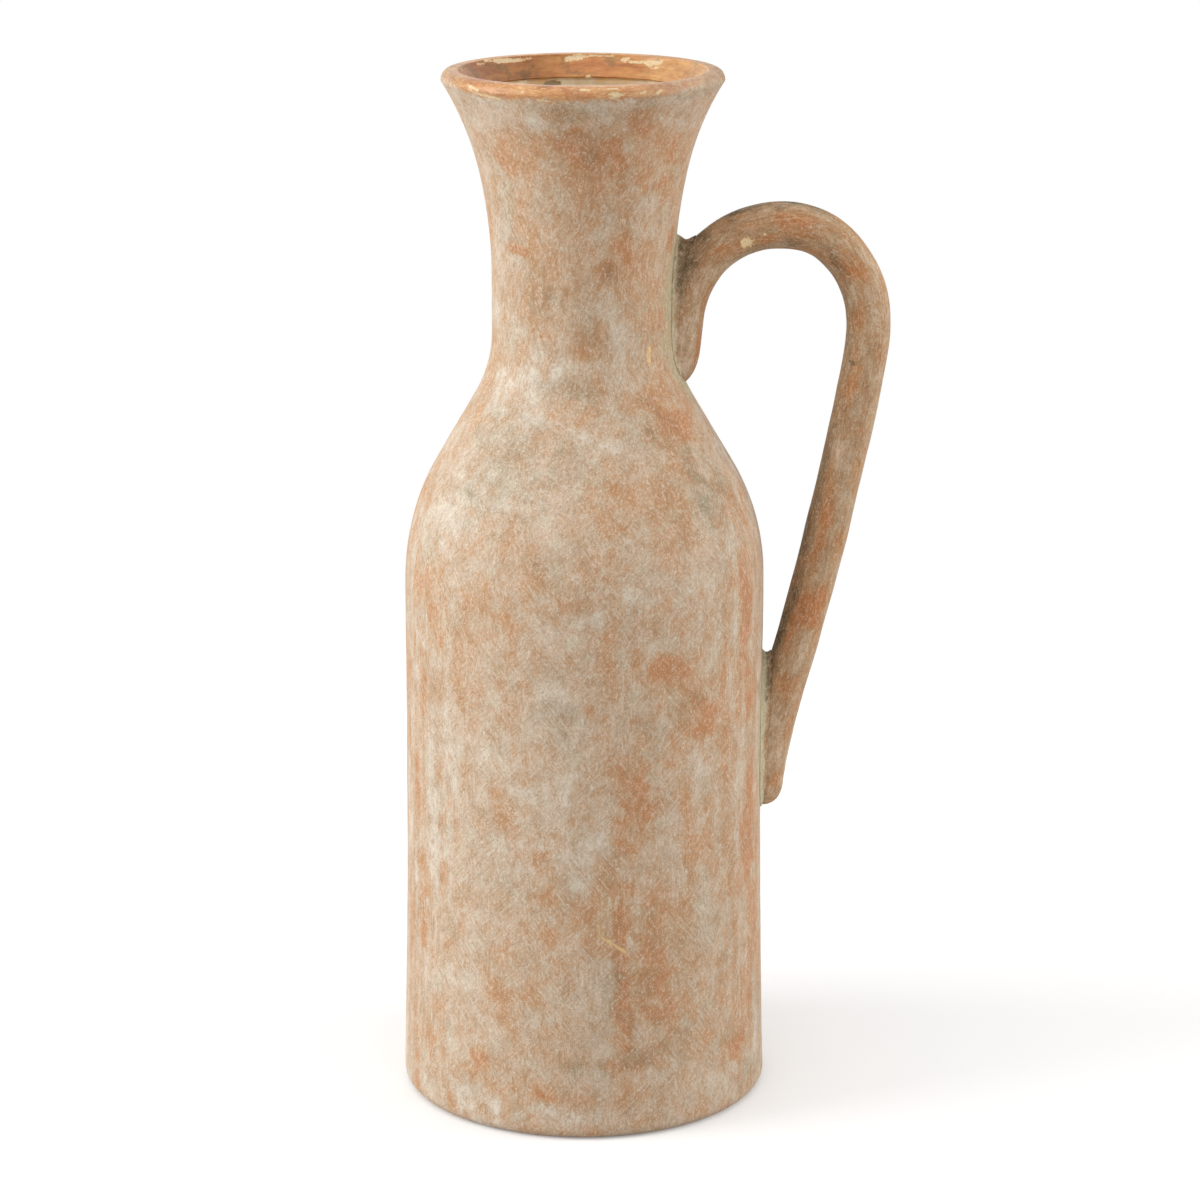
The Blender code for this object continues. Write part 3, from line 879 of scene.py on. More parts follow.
def inMetres(row):
    # Centre, half length, half width, lean and depth of a flake
    x, y, z, halfLength, halfWidth, lean, depth, kind = row
    centre = Vector((x, y, z)) / perMetre
    return centre, halfLength / perMetre, halfWidth / perMetre, math.radians(lean), depth / perMetre


for pieceName, cuts in wearDetail.items():
    piece = wearPieces[pieceName]
    pickOnly(piece)
    editMode()
    bpy.ops.mesh.select_all(action="DESELECT")
    objectMode()
    for row in wear[pieceName]:
        centre, halfLength = inMetres(row)[:2]
        for face in piece.data.polygons:
            outward = pieceName == "handle" or face.center.xy.dot(face.normal.xy) > 0.0
            if outward and (face.center - centre).length < halfLength + wearEdge["margin"]:
                face.select = True
    editMode()
    bpy.ops.mesh.select_mode(type="FACE")
    bpy.ops.mesh.subdivide(number_cuts=cuts)
    bpy.ops.mesh.select_mode(type="VERT")
    objectMode()


bareParts = ("cream", "yellow", "dark")  # a row of another kind is only pressed in


def wearDown(pieceName):
    # Presses every flake of a piece in and remembers how bare the clay is there
    piece = wearPieces[pieceName]
    bare = piece.data.attributes.new("bare", "FLOAT_VECTOR", "POINT")
    tree = KDTree(len(piece.data.vertices))
    for vertex in piece.data.vertices:
        tree.insert(vertex.co, vertex.index)
    tree.balance()
    normals = [vertex.normal.copy() for vertex in piece.data.vertices]
    sunk = {}
    for row in wear[pieceName]:
        centre, halfLength, halfWidth, lean, depth = inMetres(row)
        level = Vector((-centre.y, centre.x, 0.0)).normalized()
        if pieceName == "handle":
            level = Vector((1.0, 0.0, 0.0))
        around = wearEdge["search"] * max(halfLength, halfWidth)
        for place, index, distance in tree.find_range(centre, around):
            away = place - centre
            a = away.dot(level)
            b = math.copysign((away - level * a).length, away.z)
            longWay = a * math.cos(lean) + b * math.sin(lean)
            shortWay = b * math.cos(lean) - a * math.sin(lean)
            far = math.hypot(longWay / halfLength, shortWay / halfWidth)
            far += wearEdge["coarseShare"] * noise.noise(place / wearEdge["coarse"])
            far += wearEdge["fineShare"] * noise.noise(place / wearEdge["fine"])
            amount = 1.0 - smoothStep(wearEdge["full"], wearEdge["gone"], far)
            if amount > 0.0:
                if row[-1] in bareParts:
                    spread = Vector(bare.data[index].vector)
                    part = bareParts.index(row[-1])
                    spread[part] = max(spread[part], amount)
                    bare.data[index].vector = spread
                sink = depth * smoothStep(wearEdge["sinkFrom"], wearEdge["sinkTo"], amount)
                sunk[index] = max(sunk.get(index, 0.0), sink)
    for index, depth in sunk.items():
        piece.data.vertices[index].co -= normals[index] * depth


for pieceName in wearPieces:
    wearDown(pieceName)
print("wear:", sum(len(rows) for rows in wear.values()), "flakes and scratches")


# Stains of the wash by kind, with a little painted light, in mm: (degrees round the axis, height, half
# width, half height, strength)

stainsAndPaintedLight = {
    "orange": [
        (-136, 420, 9, 3, 1.0), (-59, 413, 4, 9, 0.5), (-43, 452, 10, 4, 0.5), (-134, 462, 5, 9, 0.4),
        (-150, 336, 5, 8, 0.6), (-36, 338, 18, 7, 0.9), (-73, 311, 7, 7, 0.7), (-154, 262, 6, 12, 0.8),
        (-124, 262, 12, 10, 0.6), (-114, 253, 7, 9, 0.6), (-27, 254, 9, 23, 0.9),
        (-65, 230, 7, 10, 1.0), (-46, 206, 6, 6, 0.9), (-40, 189, 7, 6, 1.0), (-146, 212, 9, 7, 0.8),
        (-88, 213, 3, 4, 0.8), (-71, 164, 5, 9, 0.9), (-24, 128, 8, 14, 1.1), (-155, 123, 11, 9, 0.7),
        (-152, 87, 5, 9, 0.8), (-137, 88, 5, 7, 0.8), (-34, 30, 8, 6, 1.2), (-126, 37, 7, 7, 0.9),
        (-148, 40, 6, 13, 0.6), (-78, 100, 3, 22, 1.0), (-77, 66, 3, 24, 0.9), (-20, 90, 8, 34, 0.8),
        (-21, 150, 8, 34, 0.9), (-20, 215, 8, 36, 0.9), (-160, 150, 7, 34, 0.8),
        (-162, 228, 5, 26, 0.6), (-58, 178, 9, 22, 0.7), (-120, 470, 26, 16, 0.7),
        (-50, 465, 26, 18, 0.7), (-88, 455, 20, 26, 0.6), (-110, 400, 18, 26, 0.5),
        (-45, 400, 22, 30, 0.5), (-25, 50, 8, 26, 0.5), (-158, 60, 8, 34, 0.6), (-140, 170, 6, 24, 0.6),
        (-60, 231, 9, 7, 0.8), (-48, 200, 8, 9, 0.8), (-25, 204, 4, 16, 0.9), (-72, 172, 7, 14, 0.7),
        (-117, 67, 10, 10, 0.8), (-34, 33, 6, 7, 0.5), (-61, 478, 5, 6, 0.9), (-64, 424, 6, 14, 0.6),
        (-134, 420, 5, 3, 0.9), (-70, 228, 10, 12, 0.7), (-55, 220, 14, 18, 0.6),
        (-85, 225, 14, 16, 0.5), (-28, 240, 6, 36, 0.9), (-82, 120, 13, 34, 0.6), (-68, 95, 9, 30, 0.6),
        (-64, 482, 10, 8, 0.7), (-75, 470, 8, 8, 0.6), (-48, 350, 12, 8, 0.7), (-77, 178, 6, 14, 0.8),
        (-75, 153, 10, 12, 0.8), (-54, 133, 7, 20, 0.6), (-31, 226, 6, 16, 0.7), (-104, 70, 7, 8, 0.7),
        (-71, 8, 13, 4, 0.6), (-90, 20, 30, 8, 0.4), (-60, 300, 20, 30, 0.45), (-62, 120, 18, 60, 0.35),
        (-45, 62, 16, 24, 0.4), (-86, 466, 14, 16, 0.5), (-77, 76, 4, 30, 0.5), (-28, 145, 5, 14, 0.8),
        (-30, 215, 5, 20, 0.6), (-79, 50, 6, 36, 0.6),
    ],
    "brown": [
        (-121, 398, 9, 11, 0.7), (-73, 413, 5, 6, 1.0), (-86, 467, 4, 7, 0.9), (-86, 381, 7, 10, 0.6),
        (-44, 331, 16, 5, 0.7), (-147, 309, 9, 4, 0.7), (-76, 298, 4, 4, 0.7), (-105, 278, 5, 10, 0.9),
        (-50, 216, 7, 5, 0.6), (-117, 157, 4, 7, 0.8), (-80, 38, 24, 4, 1.0), (-66, 60, 8, 6, 0.6),
        (-79, 84, 4, 34, 0.4), (-48, 338, 13, 8, 0.9), (-75, 314, 10, 6, 0.6), (-54, 214, 8, 9, 1.0),
        (-79.5, 92, 2.2, 34, 0.9), (-73, 72, 9, 30, 0.7), (-68, 43, 13, 7, 0.8), (-70, 486, 9, 5, 0.7),
        (-75, 412, 7, 8, 0.8), (-100, 476, 14, 7, 0.5), (-58, 85, 24, 44, 0.45),
        (-62, 346, 16, 10, 0.6), (-66, 430, 6, 30, 0.5), (-38, 486, 8, 8, 0.5), (-38, 110, 12, 60, 0.4),
        (-84, 470, 12, 12, 0.4), (-73, 205, 12, 7, 0.8), (-60, 207, 6, 9, 0.8),
    ],
    "grey": [
        (-62, 492, 7, 4, 0.8), (-91, 487, 14, 6, 0.6), (-93, 213, 6, 5, 0.8), (-93, 38, 9, 6, 1.0),
        (-60, 334, 13, 8, 0.5), (-52, 312, 17, 24, 0.45), (-38, 290, 10, 20, 0.4),
        (-100, 232, 12, 8, 0.4), (-38, 300, 9, 26, 0.5), (-100, 487, 12, 6, 0.5), (-128, 22, 8, 6, 0.6),
        (-151, 280, 9, 16, 0.5), (-26, 318, 9, 22, 0.6), (-5, 262, 7, 34, 0.7),
        (-128, 330, 22, 20, 0.35), (-120, 305, 18, 16, 0.3), (-40, 303, 12, 14, 0.5),
        (-140, 345, 16, 12, 0.3), (-22, 15, 22, 10, 0.5), (-140, 425, 10, 24, 0.5),
        (-98, 358, 22, 7, 0.8), (-26, 300, 8, 24, 0.5), (-135, 302, 8, 12, 0.5),
        (-100, 213, 8, 10, 0.5), (-115, 128, 8, 16, 0.5), (-82, 78, 4, 26, 0.5), (-57, 42, 12, 10, 0.5),
        (-12, 50, 8, 26, 0.6), (-88, 33, 18, 3, 0.6), (-125, 325, 26, 28, 0.6), (-95, 325, 18, 12, 0.5),
        (-145, 190, 9, 50, 0.35), (-122, 404, 14, 14, 0.4), (-97, 203, 6, 10, 0.5),
        (-75, 40, 26, 5, 0.5), (-41, 322, 8, 12, 0.6),
    ],
    # The row at (-128, 4) is painted light, lifting the foot's lower edge out of its shade
    "pale": [
        (-124, 307, 16, 7, 0.7), (-143, 291, 7, 14, 0.7), (-61, 247, 4, 5, 1.1), (-77, 333, 7, 5, 0.8),
        (-88, 258, 13, 5, 0.5), (-102, 250, 5, 5, 0.7), (-50, 181, 8, 6, 0.8), (-84, 146, 6, 12, 0.5),
        (-136, 73, 7, 4, 0.8), (-102, 15, 5, 4, 0.8), (-107, 366, 4, 5, 0.8), (-65, 383, 5, 9, 0.6),
        (-109, 174, 11, 7, 0.5), (-150, 440, 8, 30, 0.6), (-148, 190, 5, 30, 0.6),
        (-146, 120, 5, 26, 0.7), (-28, 200, 5, 22, 0.5), (-152, 245, 4, 20, 0.7),
        (-130, 312, 16, 14, 0.8), (-148, 294, 9, 13, 0.8), (-110, 366, 11, 9, 0.9),
        (-151, 236, 4, 14, 0.8), (-165, 139, 5, 17, 0.7), (-137, 16, 12, 6, 0.7), (-97, 14, 14, 5, 0.7),
        (-85, 257, 9, 6, 0.6), (-105, 165, 18, 20, 0.5), (-75, 272, 22, 12, 0.5),
        (-57, 186, 9, 10, 0.9), (-61, 152, 8, 24, 0.7), (-161, 235, 8, 26, 0.7),
        (-146, 150, 6, 18, 0.8), (-125, 385, 20, 18, 0.6), (-130, 350, 22, 16, 0.7),
        (-145, 312, 10, 22, 0.7), (-75, 290, 12, 12, 0.4), (-110, 140, 12, 28, 0.5),
        (-130, 15, 24, 7, 0.9), (-88, 12, 22, 5, 0.6), (-137, 176, 7, 26, 0.8), (-139, 208, 6, 20, 0.6),
        (-72, 227, 13, 8, 0.6), (-62, 179, 13, 12, 1.0), (-92, 132, 10, 14, 0.5), (-90, 78, 7, 8, 0.5),
        (-138, 145, 6, 30, 0.9), (-128, 4, 30, 5, 0.6), (-67, 117, 5, 9, 0.6), (-69, 80, 5, 10, 0.7),
        (-143, 352, 12, 20, 0.6), (-112, 284, 6, 20, 0.6), (-66, 170, 7, 8, 0.5),
        (-157, 90, 7, 40, 0.7), (-110, 8, 40, 5, 0.5), (-150, 10, 14, 8, 0.6), (-125, 325, 26, 28, 0.6),
        (-44, 300, 10, 14, 0.8), (-147, 215, 9, 30, 0.5), (-143, 160, 8, 40, 0.5),
        (-160, 118, 5, 20, 0.8), (-98, 112, 8, 12, 0.7), (-92, 338, 8, 5, 0.7), (-90, 135, 5, 14, 0.7),
        (-70, 240, 12, 10, 0.5), (-143, 232, 9, 14, 0.5), (-72, 262, 18, 14, 0.5),
        (-147, 150, 5, 24, 0.8), (-159, 225, 8, 28, 0.7), (-140, 296, 14, 16, 0.7),
        (-108, 14, 30, 6, 0.6),
    ],
}
stainAndLightParts = {  # towards orange clay, towards dark grime and painted shade; the last kind is painted light
    "orange": (1.0, 0.0), "brown": (0.60, 0.42), "grey": (0.10, 0.70), "pale": (-0.7, 0.0),
    "paleAndPaintedLight": (-1.1, -0.5),
}
farSide = {  # the side that no one has seen is stained at random, within these limits of a row
    "seed": 11, "count": 62, "kinds": ("orange", "orange", "brown", "pale", "pale", "grey"),
    "limits": ((-14, 194), (12.0, 485.0), (4.0, 11.0), (4.0, 14.0), (0.5, 1.0)),
}
dice = random.Random(farSide["seed"])
for i in range(farSide["count"]):
    kind = dice.choice(farSide["kinds"])
    stainsAndPaintedLight[kind].append(tuple(dice.uniform(low, high) for low, high in farSide["limits"]))

# The same on the handle, painted light among them: (x, y, z, half length along the rod, half width across
# it, strength)
rodStainsAndLight = {
    "grey": [
        (48.3, -7.0, 413.7, 14, 8, 0.6), (45.5, -7.0, 400.3, 15, 5, 0.5),
        (44.6, -8.0, 388.0, 12, 3, 0.3), (64.0, -1.0, 431.0, 24, 8, 1.3),
        (86.0, 0.0, 440.0, 22, 8, 1.3), (106.0, -1.0, 437.0, 17, 6, 0.8),
        (100.0, -9.0, 419.3, 9, 3, 0.6), (109.4, -9.0, 423.0, 8, 3, 0.6),
        (117.0, -9.0, 413.6, 11, 3, 0.9), (123.6, -9.0, 403.0, 11, 3, 0.8),
        (124.5, -9.0, 391.0, 12, 3, 0.6), (127.0, -9.0, 338.0, 10, 5, 0.4),
        (104.5, -9.0, 256.0, 13, 3, 0.8), (48.0, 8.0, 400.0, 14, 7, 0.7),
        (110.0, 8.0, 415.0, 14, 6, 0.7), (99.0, 9.0, 214.0, 13, 6, 0.7),
    ],
    "brown": [
        (122.0, -1.0, 430.0, 15, 5, 0.7), (133.0, -8.0, 348.0, 10, 4, 0.7),
        (103.0, -7.0, 240.0, 16, 5, 0.6),
    ],
    "orange": [
        (57.5, -4.0, 379.0, 18, 7, 1.0), (55.0, -4.0, 366.0, 9, 7, 0.8), (68.0, -9.0, 417.5, 9, 6, 0.8),
        (92.5, -9.0, 429.0, 10, 5, 0.7), (102.9, -9.0, 430.0, 7, 4, 0.9),
        (86.9, -10.0, 422.2, 9, 3, 0.8), (124.0, -10.0, 409.0, 7, 3, 1.0),
        (131.2, -9.0, 405.0, 5, 5, 1.0), (130.2, -9.0, 378.0, 12, 5, 0.7),
        (126.0, -9.0, 350.0, 14, 5, 1.0), (116.5, -9.0, 311.0, 9, 4, 0.6),
        (130.0, -6.0, 311.0, 10, 4, 0.6), (114.0, -9.0, 276.0, 13, 4, 1.0),
        (121.0, -8.0, 272.0, 13, 3, 0.8), (112.0, -9.0, 243.6, 14, 6, 1.4),
        (97.5, -9.0, 204.0, 12, 6, 0.7), (99.0, -7.0, 180.0, 14, 3, 0.8),
        (94.5, -9.0, 156.0, 6, 5, 0.9), (58.0, -7.0, 392.0, 12, 3, 0.8),
        (51.0, -9.6, 370.0, 14, 5, 0.5), (102.5, -9.0, 232.0, 20, 6, 0.9),
        (117.0, -9.0, 290.0, 16, 4, 0.7), (55.0, -6.0, 368.0, 9, 3, 0.6),
        (60.0, 9.0, 424.0, 14, 7, 0.8), (133.0, 9.0, 372.0, 16, 8, 0.8),
        (108.0, 9.0, 262.0, 15, 7, 0.7), (91.0, 9.0, 172.0, 13, 6, 0.7),
    ],
    "pale": [
        (133.0, -8.0, 412.0, 13, 5, 0.6), (137.0, -8.0, 397.4, 16, 5, 0.6),
        (137.0, -8.0, 383.0, 12, 5, 0.4), (140.5, -5.0, 358.0, 20, 3, 0.9),
        (122.0, -9.0, 318.0, 10, 6, 0.8), (121.0, -9.0, 297.0, 8, 4, 0.9),
        (94.5, -9.0, 188.0, 10, 5, 1.1), (53.0, -9.0, 388.0, 14, 6, 0.8),
        (124.0, 9.0, 330.0, 15, 7, 0.6),
    ],
    # Painted light: pale rows that lift the tails; those on the upper tail lift it out of the neck's shade
    "paleAndPaintedLight": [
        (103.5, -9.0, 224.0, 10, 6, 0.8), (92.0, -9.5, 168.0, 14, 7, 0.6),
        (51.5, -9.6, 376.0, 20, 7, 1.0), (57.5, -9.5, 402.0, 12, 4, 0.8),
        (48.0, -9.5, 362.0, 9, 7, 0.8),
    ],
}
# Smudges on the rim's slope, with painted shade on the slope's left and at the lip's right end: (x, y, z,
# half width, half height, strength)
rimSmudgesAndShade = [
    (-24.0, 50.0, 496.0, 8.0, 3.5, 0.8), (-44.0, 35.0, 495.0, 12.0, 4.0, 0.5),
    (-52.0, 16.0, 495.0, 11.0, 6.0, 0.5), (46.0, 33.0, 497.0, 9.0, 3.0, 0.4),
    (54.0, 16.0, 495.0, 9.0, 4.0, 0.5), (-30.0, 43.0, 492.0, 9.0, 3.0, 0.6),
    (16.0, 53.0, 497.0, 7.0, 3.0, 0.6), (0.0, 51.5, 491.5, 8.0, 1.6, 0.5),
    (20.0, -50.0, 494.0, 12.0, 5.0, 0.8), (-30.0, -46.0, 494.0, 12.0, 5.0, 0.8),
    (65.0, -8.0, 497.0, 12.0, 6.0, 1.0), (60.0, -28.0, 496.0, 12.0, 6.0, 0.8),
    (48.0, -45.0, 495.0, 12.0, 5.0, 0.5), (62.0, 14.0, 498.0, 12.0, 5.0, 0.6),
]
stainEdge = {"size": 0.0065, "share": 0.55, "reach": 1.7, "full": 0.25, "gone": 1.30}
rootFringe = {"near": 0.0008, "neck": 0.0170, "body": 0.0050, "wander": 0.0040, "search": 1.5}

slopeFoot = seam - 0.02  # above it the fringe is the upper luting's

lutingTree = KDTree(sum(len(piece.data.vertices) for piece in lutings))
for piece in lutings:
    for vertex in piece.data.vertices:
        lutingTree.insert(vertex.co, 0)
lutingTree.balance()


def paintStainsAndLight(piece, rows):
    # Attribute of stains and painted light: towards orange (below zero pale, partly painted light), towards
    # dark grime and painted shade, pale green fringe
    places = [vertex.co for vertex in piece.data.vertices]
    if "rodPlace" in piece.data.attributes:
        places = [Vector(remembered.vector) for remembered in piece.data.attributes["rodPlace"].data]
    stainAndPaintedLight = piece.data.attributes.new("stainAndPaintedLight", "FLOAT_VECTOR", "POINT")
    tree = KDTree(len(places))
    for index, place in enumerate(places):
        tree.insert(place, index)
    tree.balance()
    sums = [[0.0, 0.0, 0.0] for vertex in piece.data.vertices]
    ragged = {}
    for kind, centre, level, across, up, strength in rows:
        for place, index, distance in tree.find_range(centre, stainEdge["reach"] * max(across, up)):
            away = place - centre
            a = away.dot(level)
            b = (away - level * a).length
            far = math.hypot(a / across, b / up)
            if far > stainEdge["reach"]:
                continue
            if index not in ragged:
                ragged[index] = stainEdge["share"] * noise.noise(place / stainEdge["size"])
            fade = smoothStep(stainEdge["full"], stainEdge["gone"], far + ragged[index])
            amount = strength * (1.0 - fade)
            for part, share in enumerate(stainAndLightParts[kind]):
                sums[index][part] += amount * share
    for vertex in piece.data.vertices:
        distance = lutingTree.find(vertex.co)[2]
        reach = rootFringe["neck"] if vertex.co.z > slopeFoot else rootFringe["body"]
        if distance < rootFringe["search"] * reach:
            distance += rootFringe["wander"] * noise.noise(vertex.co / stainEdge["size"])
            sums[vertex.index][2] = 1.0 - smoothStep(rootFringe["near"], reach, distance)
        stainAndPaintedLight.data[vertex.index].vector = sums[vertex.index]


wallRows = []
for kind, rows in stainsAndPaintedLight.items():
    for angle, height, across, up, strength in rows:
        turn, radius = math.radians(angle), radiusAt(wall, height / perMetre)
        centre = Vector((radius * math.cos(turn), radius * math.sin(turn), height / perMetre))
        level = Vector((-math.sin(turn), math.cos(turn), 0.0))
        wallRows.append((kind, centre, level, across / perMetre, up / perMetre, strength))
rimRows = []
for x, y, z, across, up, strength in rimSmudgesAndShade:
    centre = Vector((x, y, z)) / perMetre
    level = Vector((-y, x, 0.0)).normalized()
    rimRows.append(("grey", centre, level, across / perMetre, up / perMetre, strength))
rodRows, alongRod = [], Vector((0.0, 0.0, 1.0))
for kind, rows in rodStainsAndLight.items():
    for x, y, z, along, across, strength in rows:
        straight = inRodSpace(Vector((x, y, z)) / perMetre)
        rodRows.append((kind, straight, alongRod, along / perMetre, across / perMetre, strength))
for piece, rows in ((bodyWall, wallRows), (neckWall, wallRows), (rimRing, wallRows + rimRows)):
    paintStainsAndLight(piece, rows)
for piece in (handleRod,) + lutings:
    paintStainsAndLight(piece, rodRows)

# Green-grey clay at the wall, and painted shade: dark lines in the crevices where the clay meets the wall
# and the rod, dark pits, and darkness near the wall round the upper root
creviceShade = {
    "width": 0.0013, "strength": 0.5, "rootShade": 0.55, "rootShadeWidth": 0.0180, "rootShadeHeight": (0.375, 0.400),
    "pits": (  # (x, y, z, size), in mm
        (88.0, -9.6, 197.0, 1.7), (88.1, -9.5, 201.0, 1.1), (88.3, -9.2, 205.5, 1.0),
        (88.4, -8.8, 210.0, 1.0), (87.9, -10.6, 148.4, 1.8), (46.8, -9.2, 356.4, 1.8),
        (45.6, -5.0, 417.0, 2.0),
    ),
    "pitEdge": (0.5, 1.1), "pitGrain": 0.0015, "pitShare": 0.4,
}
# Painted shade: the side of the rod that faces the loop is darker, and on the leg the side that faces the
# body
loopShade = {
    "middle": 0.088, "reach": 0.030, "legTop": 0.310, "low": 0.10, "high": 0.39,
    "turned": (0.15, 0.80), "clear": (0.066, 0.088), "leg": (-0.340, -0.270),
    "grimeAndShade": 0.50, "lowerShade": 0.70,
}
fringes = {  # share, and where it starts to fade and is gone, from the wall
    "upper": (0.65, 0.0004, 0.0026), "lower": (1.0, 0.0008, 0.0034),
}
lowerHead = {"grimeAndShade": 0.9, "height": (0.192, 0.206)}
for piece in lutings + (handleRod,):
    stainAndPaintedLight = piece.data.attributes["stainAndPaintedLight"]
    for vertex in piece.data.vertices:
        warm, grimeAndShade, fringe = stainAndPaintedLight.data[vertex.index].vector
        gap, outward = wallGap(vertex.co)
        seamGap = gap if piece is handleRod else rodGap(vertex.co)[0]
        # painted shade in the crevice where the rod meets the wall and where a luting meets the rod
        grimeAndShade += creviceShade["strength"] * (1.0 - smoothStep(0.0, creviceShade["width"], seamGap))
        # painted shade of small pits
        for x, y, z, size in creviceShade["pits"]:
            distance = (vertex.co - Vector((x, y, z)) / perMetre).length * perMetre / size
            distance += creviceShade["pitShare"] * noise.noise(vertex.co / creviceShade["pitGrain"])
            grimeAndShade += 1.0 - smoothStep(*creviceShade["pitEdge"], distance)
        # painted shade near the wall round the upper root
        if vertex.co.z > seam:
            rootShade = creviceShade["rootShade"] * (1.0 - smoothStep(0.0, creviceShade["rootShadeWidth"], gap))
            grimeAndShade += rootShade * smoothStep(*creviceShade["rootShadeHeight"], vertex.co.z)
        if piece is handleRod:
            fringe = 0.0
            # painted shade on the rod's side that faces the loop, and on the leg's side that faces the body
            level = min(max(vertex.co.z, loopShade["low"]), loopShade["high"])
            aim = loopShade["middle"]
            if vertex.co.z < loopShade["legTop"]:
                aim = min(aim, vertex.co.x - loopShade["reach"])
            towards = (Vector((aim, 0.0, level)) - vertex.co).normalized()
            facing = smoothStep(*loopShade["turned"], rodGap(vertex.co)[1].dot(towards))
            facing *= smoothStep(*loopShade["clear"], vertex.co.x)
            grimeAndShade += facing * (loopShade["grimeAndShade"] + loopShade["lowerShade"] * smoothStep(*loopShade["leg"], -vertex.co.z))
        else:
            share, near, far = fringes["upper" if piece is kneaded["upperLuting"] else "lower"]
            fringe = share * (1.0 - smoothStep(near, far, gap))
        if piece is kneaded["lowerLuting"]:
            grimeAndShade += lowerHead["grimeAndShade"] * smoothStep(*lowerHead["height"], vertex.co.z)
        stainAndPaintedLight.data[vertex.index].vector = (warm, grimeAndShade, fringe)
print("stains:", len(wallRows) + len(rodRows))


# Finishes

washLook = {
    "shades": (
        (0.00, linear(197, 136, 90)), (0.25, linear(200, 154, 114)), (0.50, linear(203, 172, 142)),
        (0.75, linear(211, 189, 166)), (1.00, linear(224, 210, 192)),
    ),
    "grimeAndShade": linear(126, 106, 72), "grimeAndShadeShare": 0.56, "fringe": linear(196, 188, 150), "fringeShare": 0.62,
    "film": linear(160, 137, 106), "filmShare": 0.34, "filmSize": 0.013,
    "patches": 1.1, "mottle": 1.75, "alongPatches": 0.7, "alongMottle": 0.8, "alongThreads": 0.45,
    "sweeps": 1.5, "sweepFrom": 0.050, "sweepTo": 0.076,
    "white": linear(236, 226, 208), "umber": linear(144, 112, 76), "strokeCover": 0.15,
    "curls": 0.75, "grain": 0.90, "strokes": 0.95, "paleThreads": 0.34, "darkThreads": -0.28,
    "roughness": 0.85, "sheen": 0.10, "relief": 0.00010,
}
rodLook = dict(
    washLook,
    shades=(
        (0.00, linear(194, 127, 76)), (0.25, linear(191, 138, 92)), (0.50, linear(188, 149, 110)),
        (0.75, linear(199, 166, 133)), (1.00, linear(218, 188, 160)),
    ),
    grimeAndShade=linear(92, 78, 52), grimeAndShadeShare=0.70, film=linear(136, 114, 84), filmShare=0.26,
    patches=1.0, mottle=1.8, alongPatches=0.40, alongMottle=0.60, alongThreads=0.42,
    white=linear(228, 210, 186), umber=linear(104, 80, 54), paleThreads=0.34, darkThreads=-0.24,
)
lutingLook = dict(rodLook, fringe=linear(202, 196, 162), fringeShare=0.80)

# Grain of each layer in metres, how far its strokes are drawn out, and their turn per metre of height
washSizes = {
    "patches": 0.036, "mottle": 0.010, "stroke": 0.0011, "ways": 0.018, "curls": 0.0016, "grain": 0.0009,
    "pale": 0.0030, "dark": 0.0034, "sweep": 0.0065, "paleWidth": 0.045, "darkWidth": 0.035,
    "alongDown": 0.15, "alongLeaning": 0.16, "alongSweep": 0.11, "turnLeft": 9.0, "turnRight": -12.0,
}
washMix = {
    "leanRight": (0.42, 0.50), "runDown": (0.52, 0.60), "warmth": -0.44, "warmMottle": 3.0,
    "filmBand": (0.42, 0.68), "fringeBand": (0.10, 0.85),
    "grimeAndShadeStart": 0.85, "grimeAndShadeMottle": 2.2, "grimeAndShadeFilm": 1.6,
    "fringeMottle": 2.6, "darkRelief": -0.08,
}


def threads(tree, place, size, thickness):
    # Thin curling lines, where a cloud passes through its middle value
    passing = calc(tree, "ABSOLUTE", calc(tree, "SUBTRACT", cloud(tree, place, size, 2.0, 0.6, 1.2), 0.5))
    return ramp(tree, passing, thickness, 0.0)


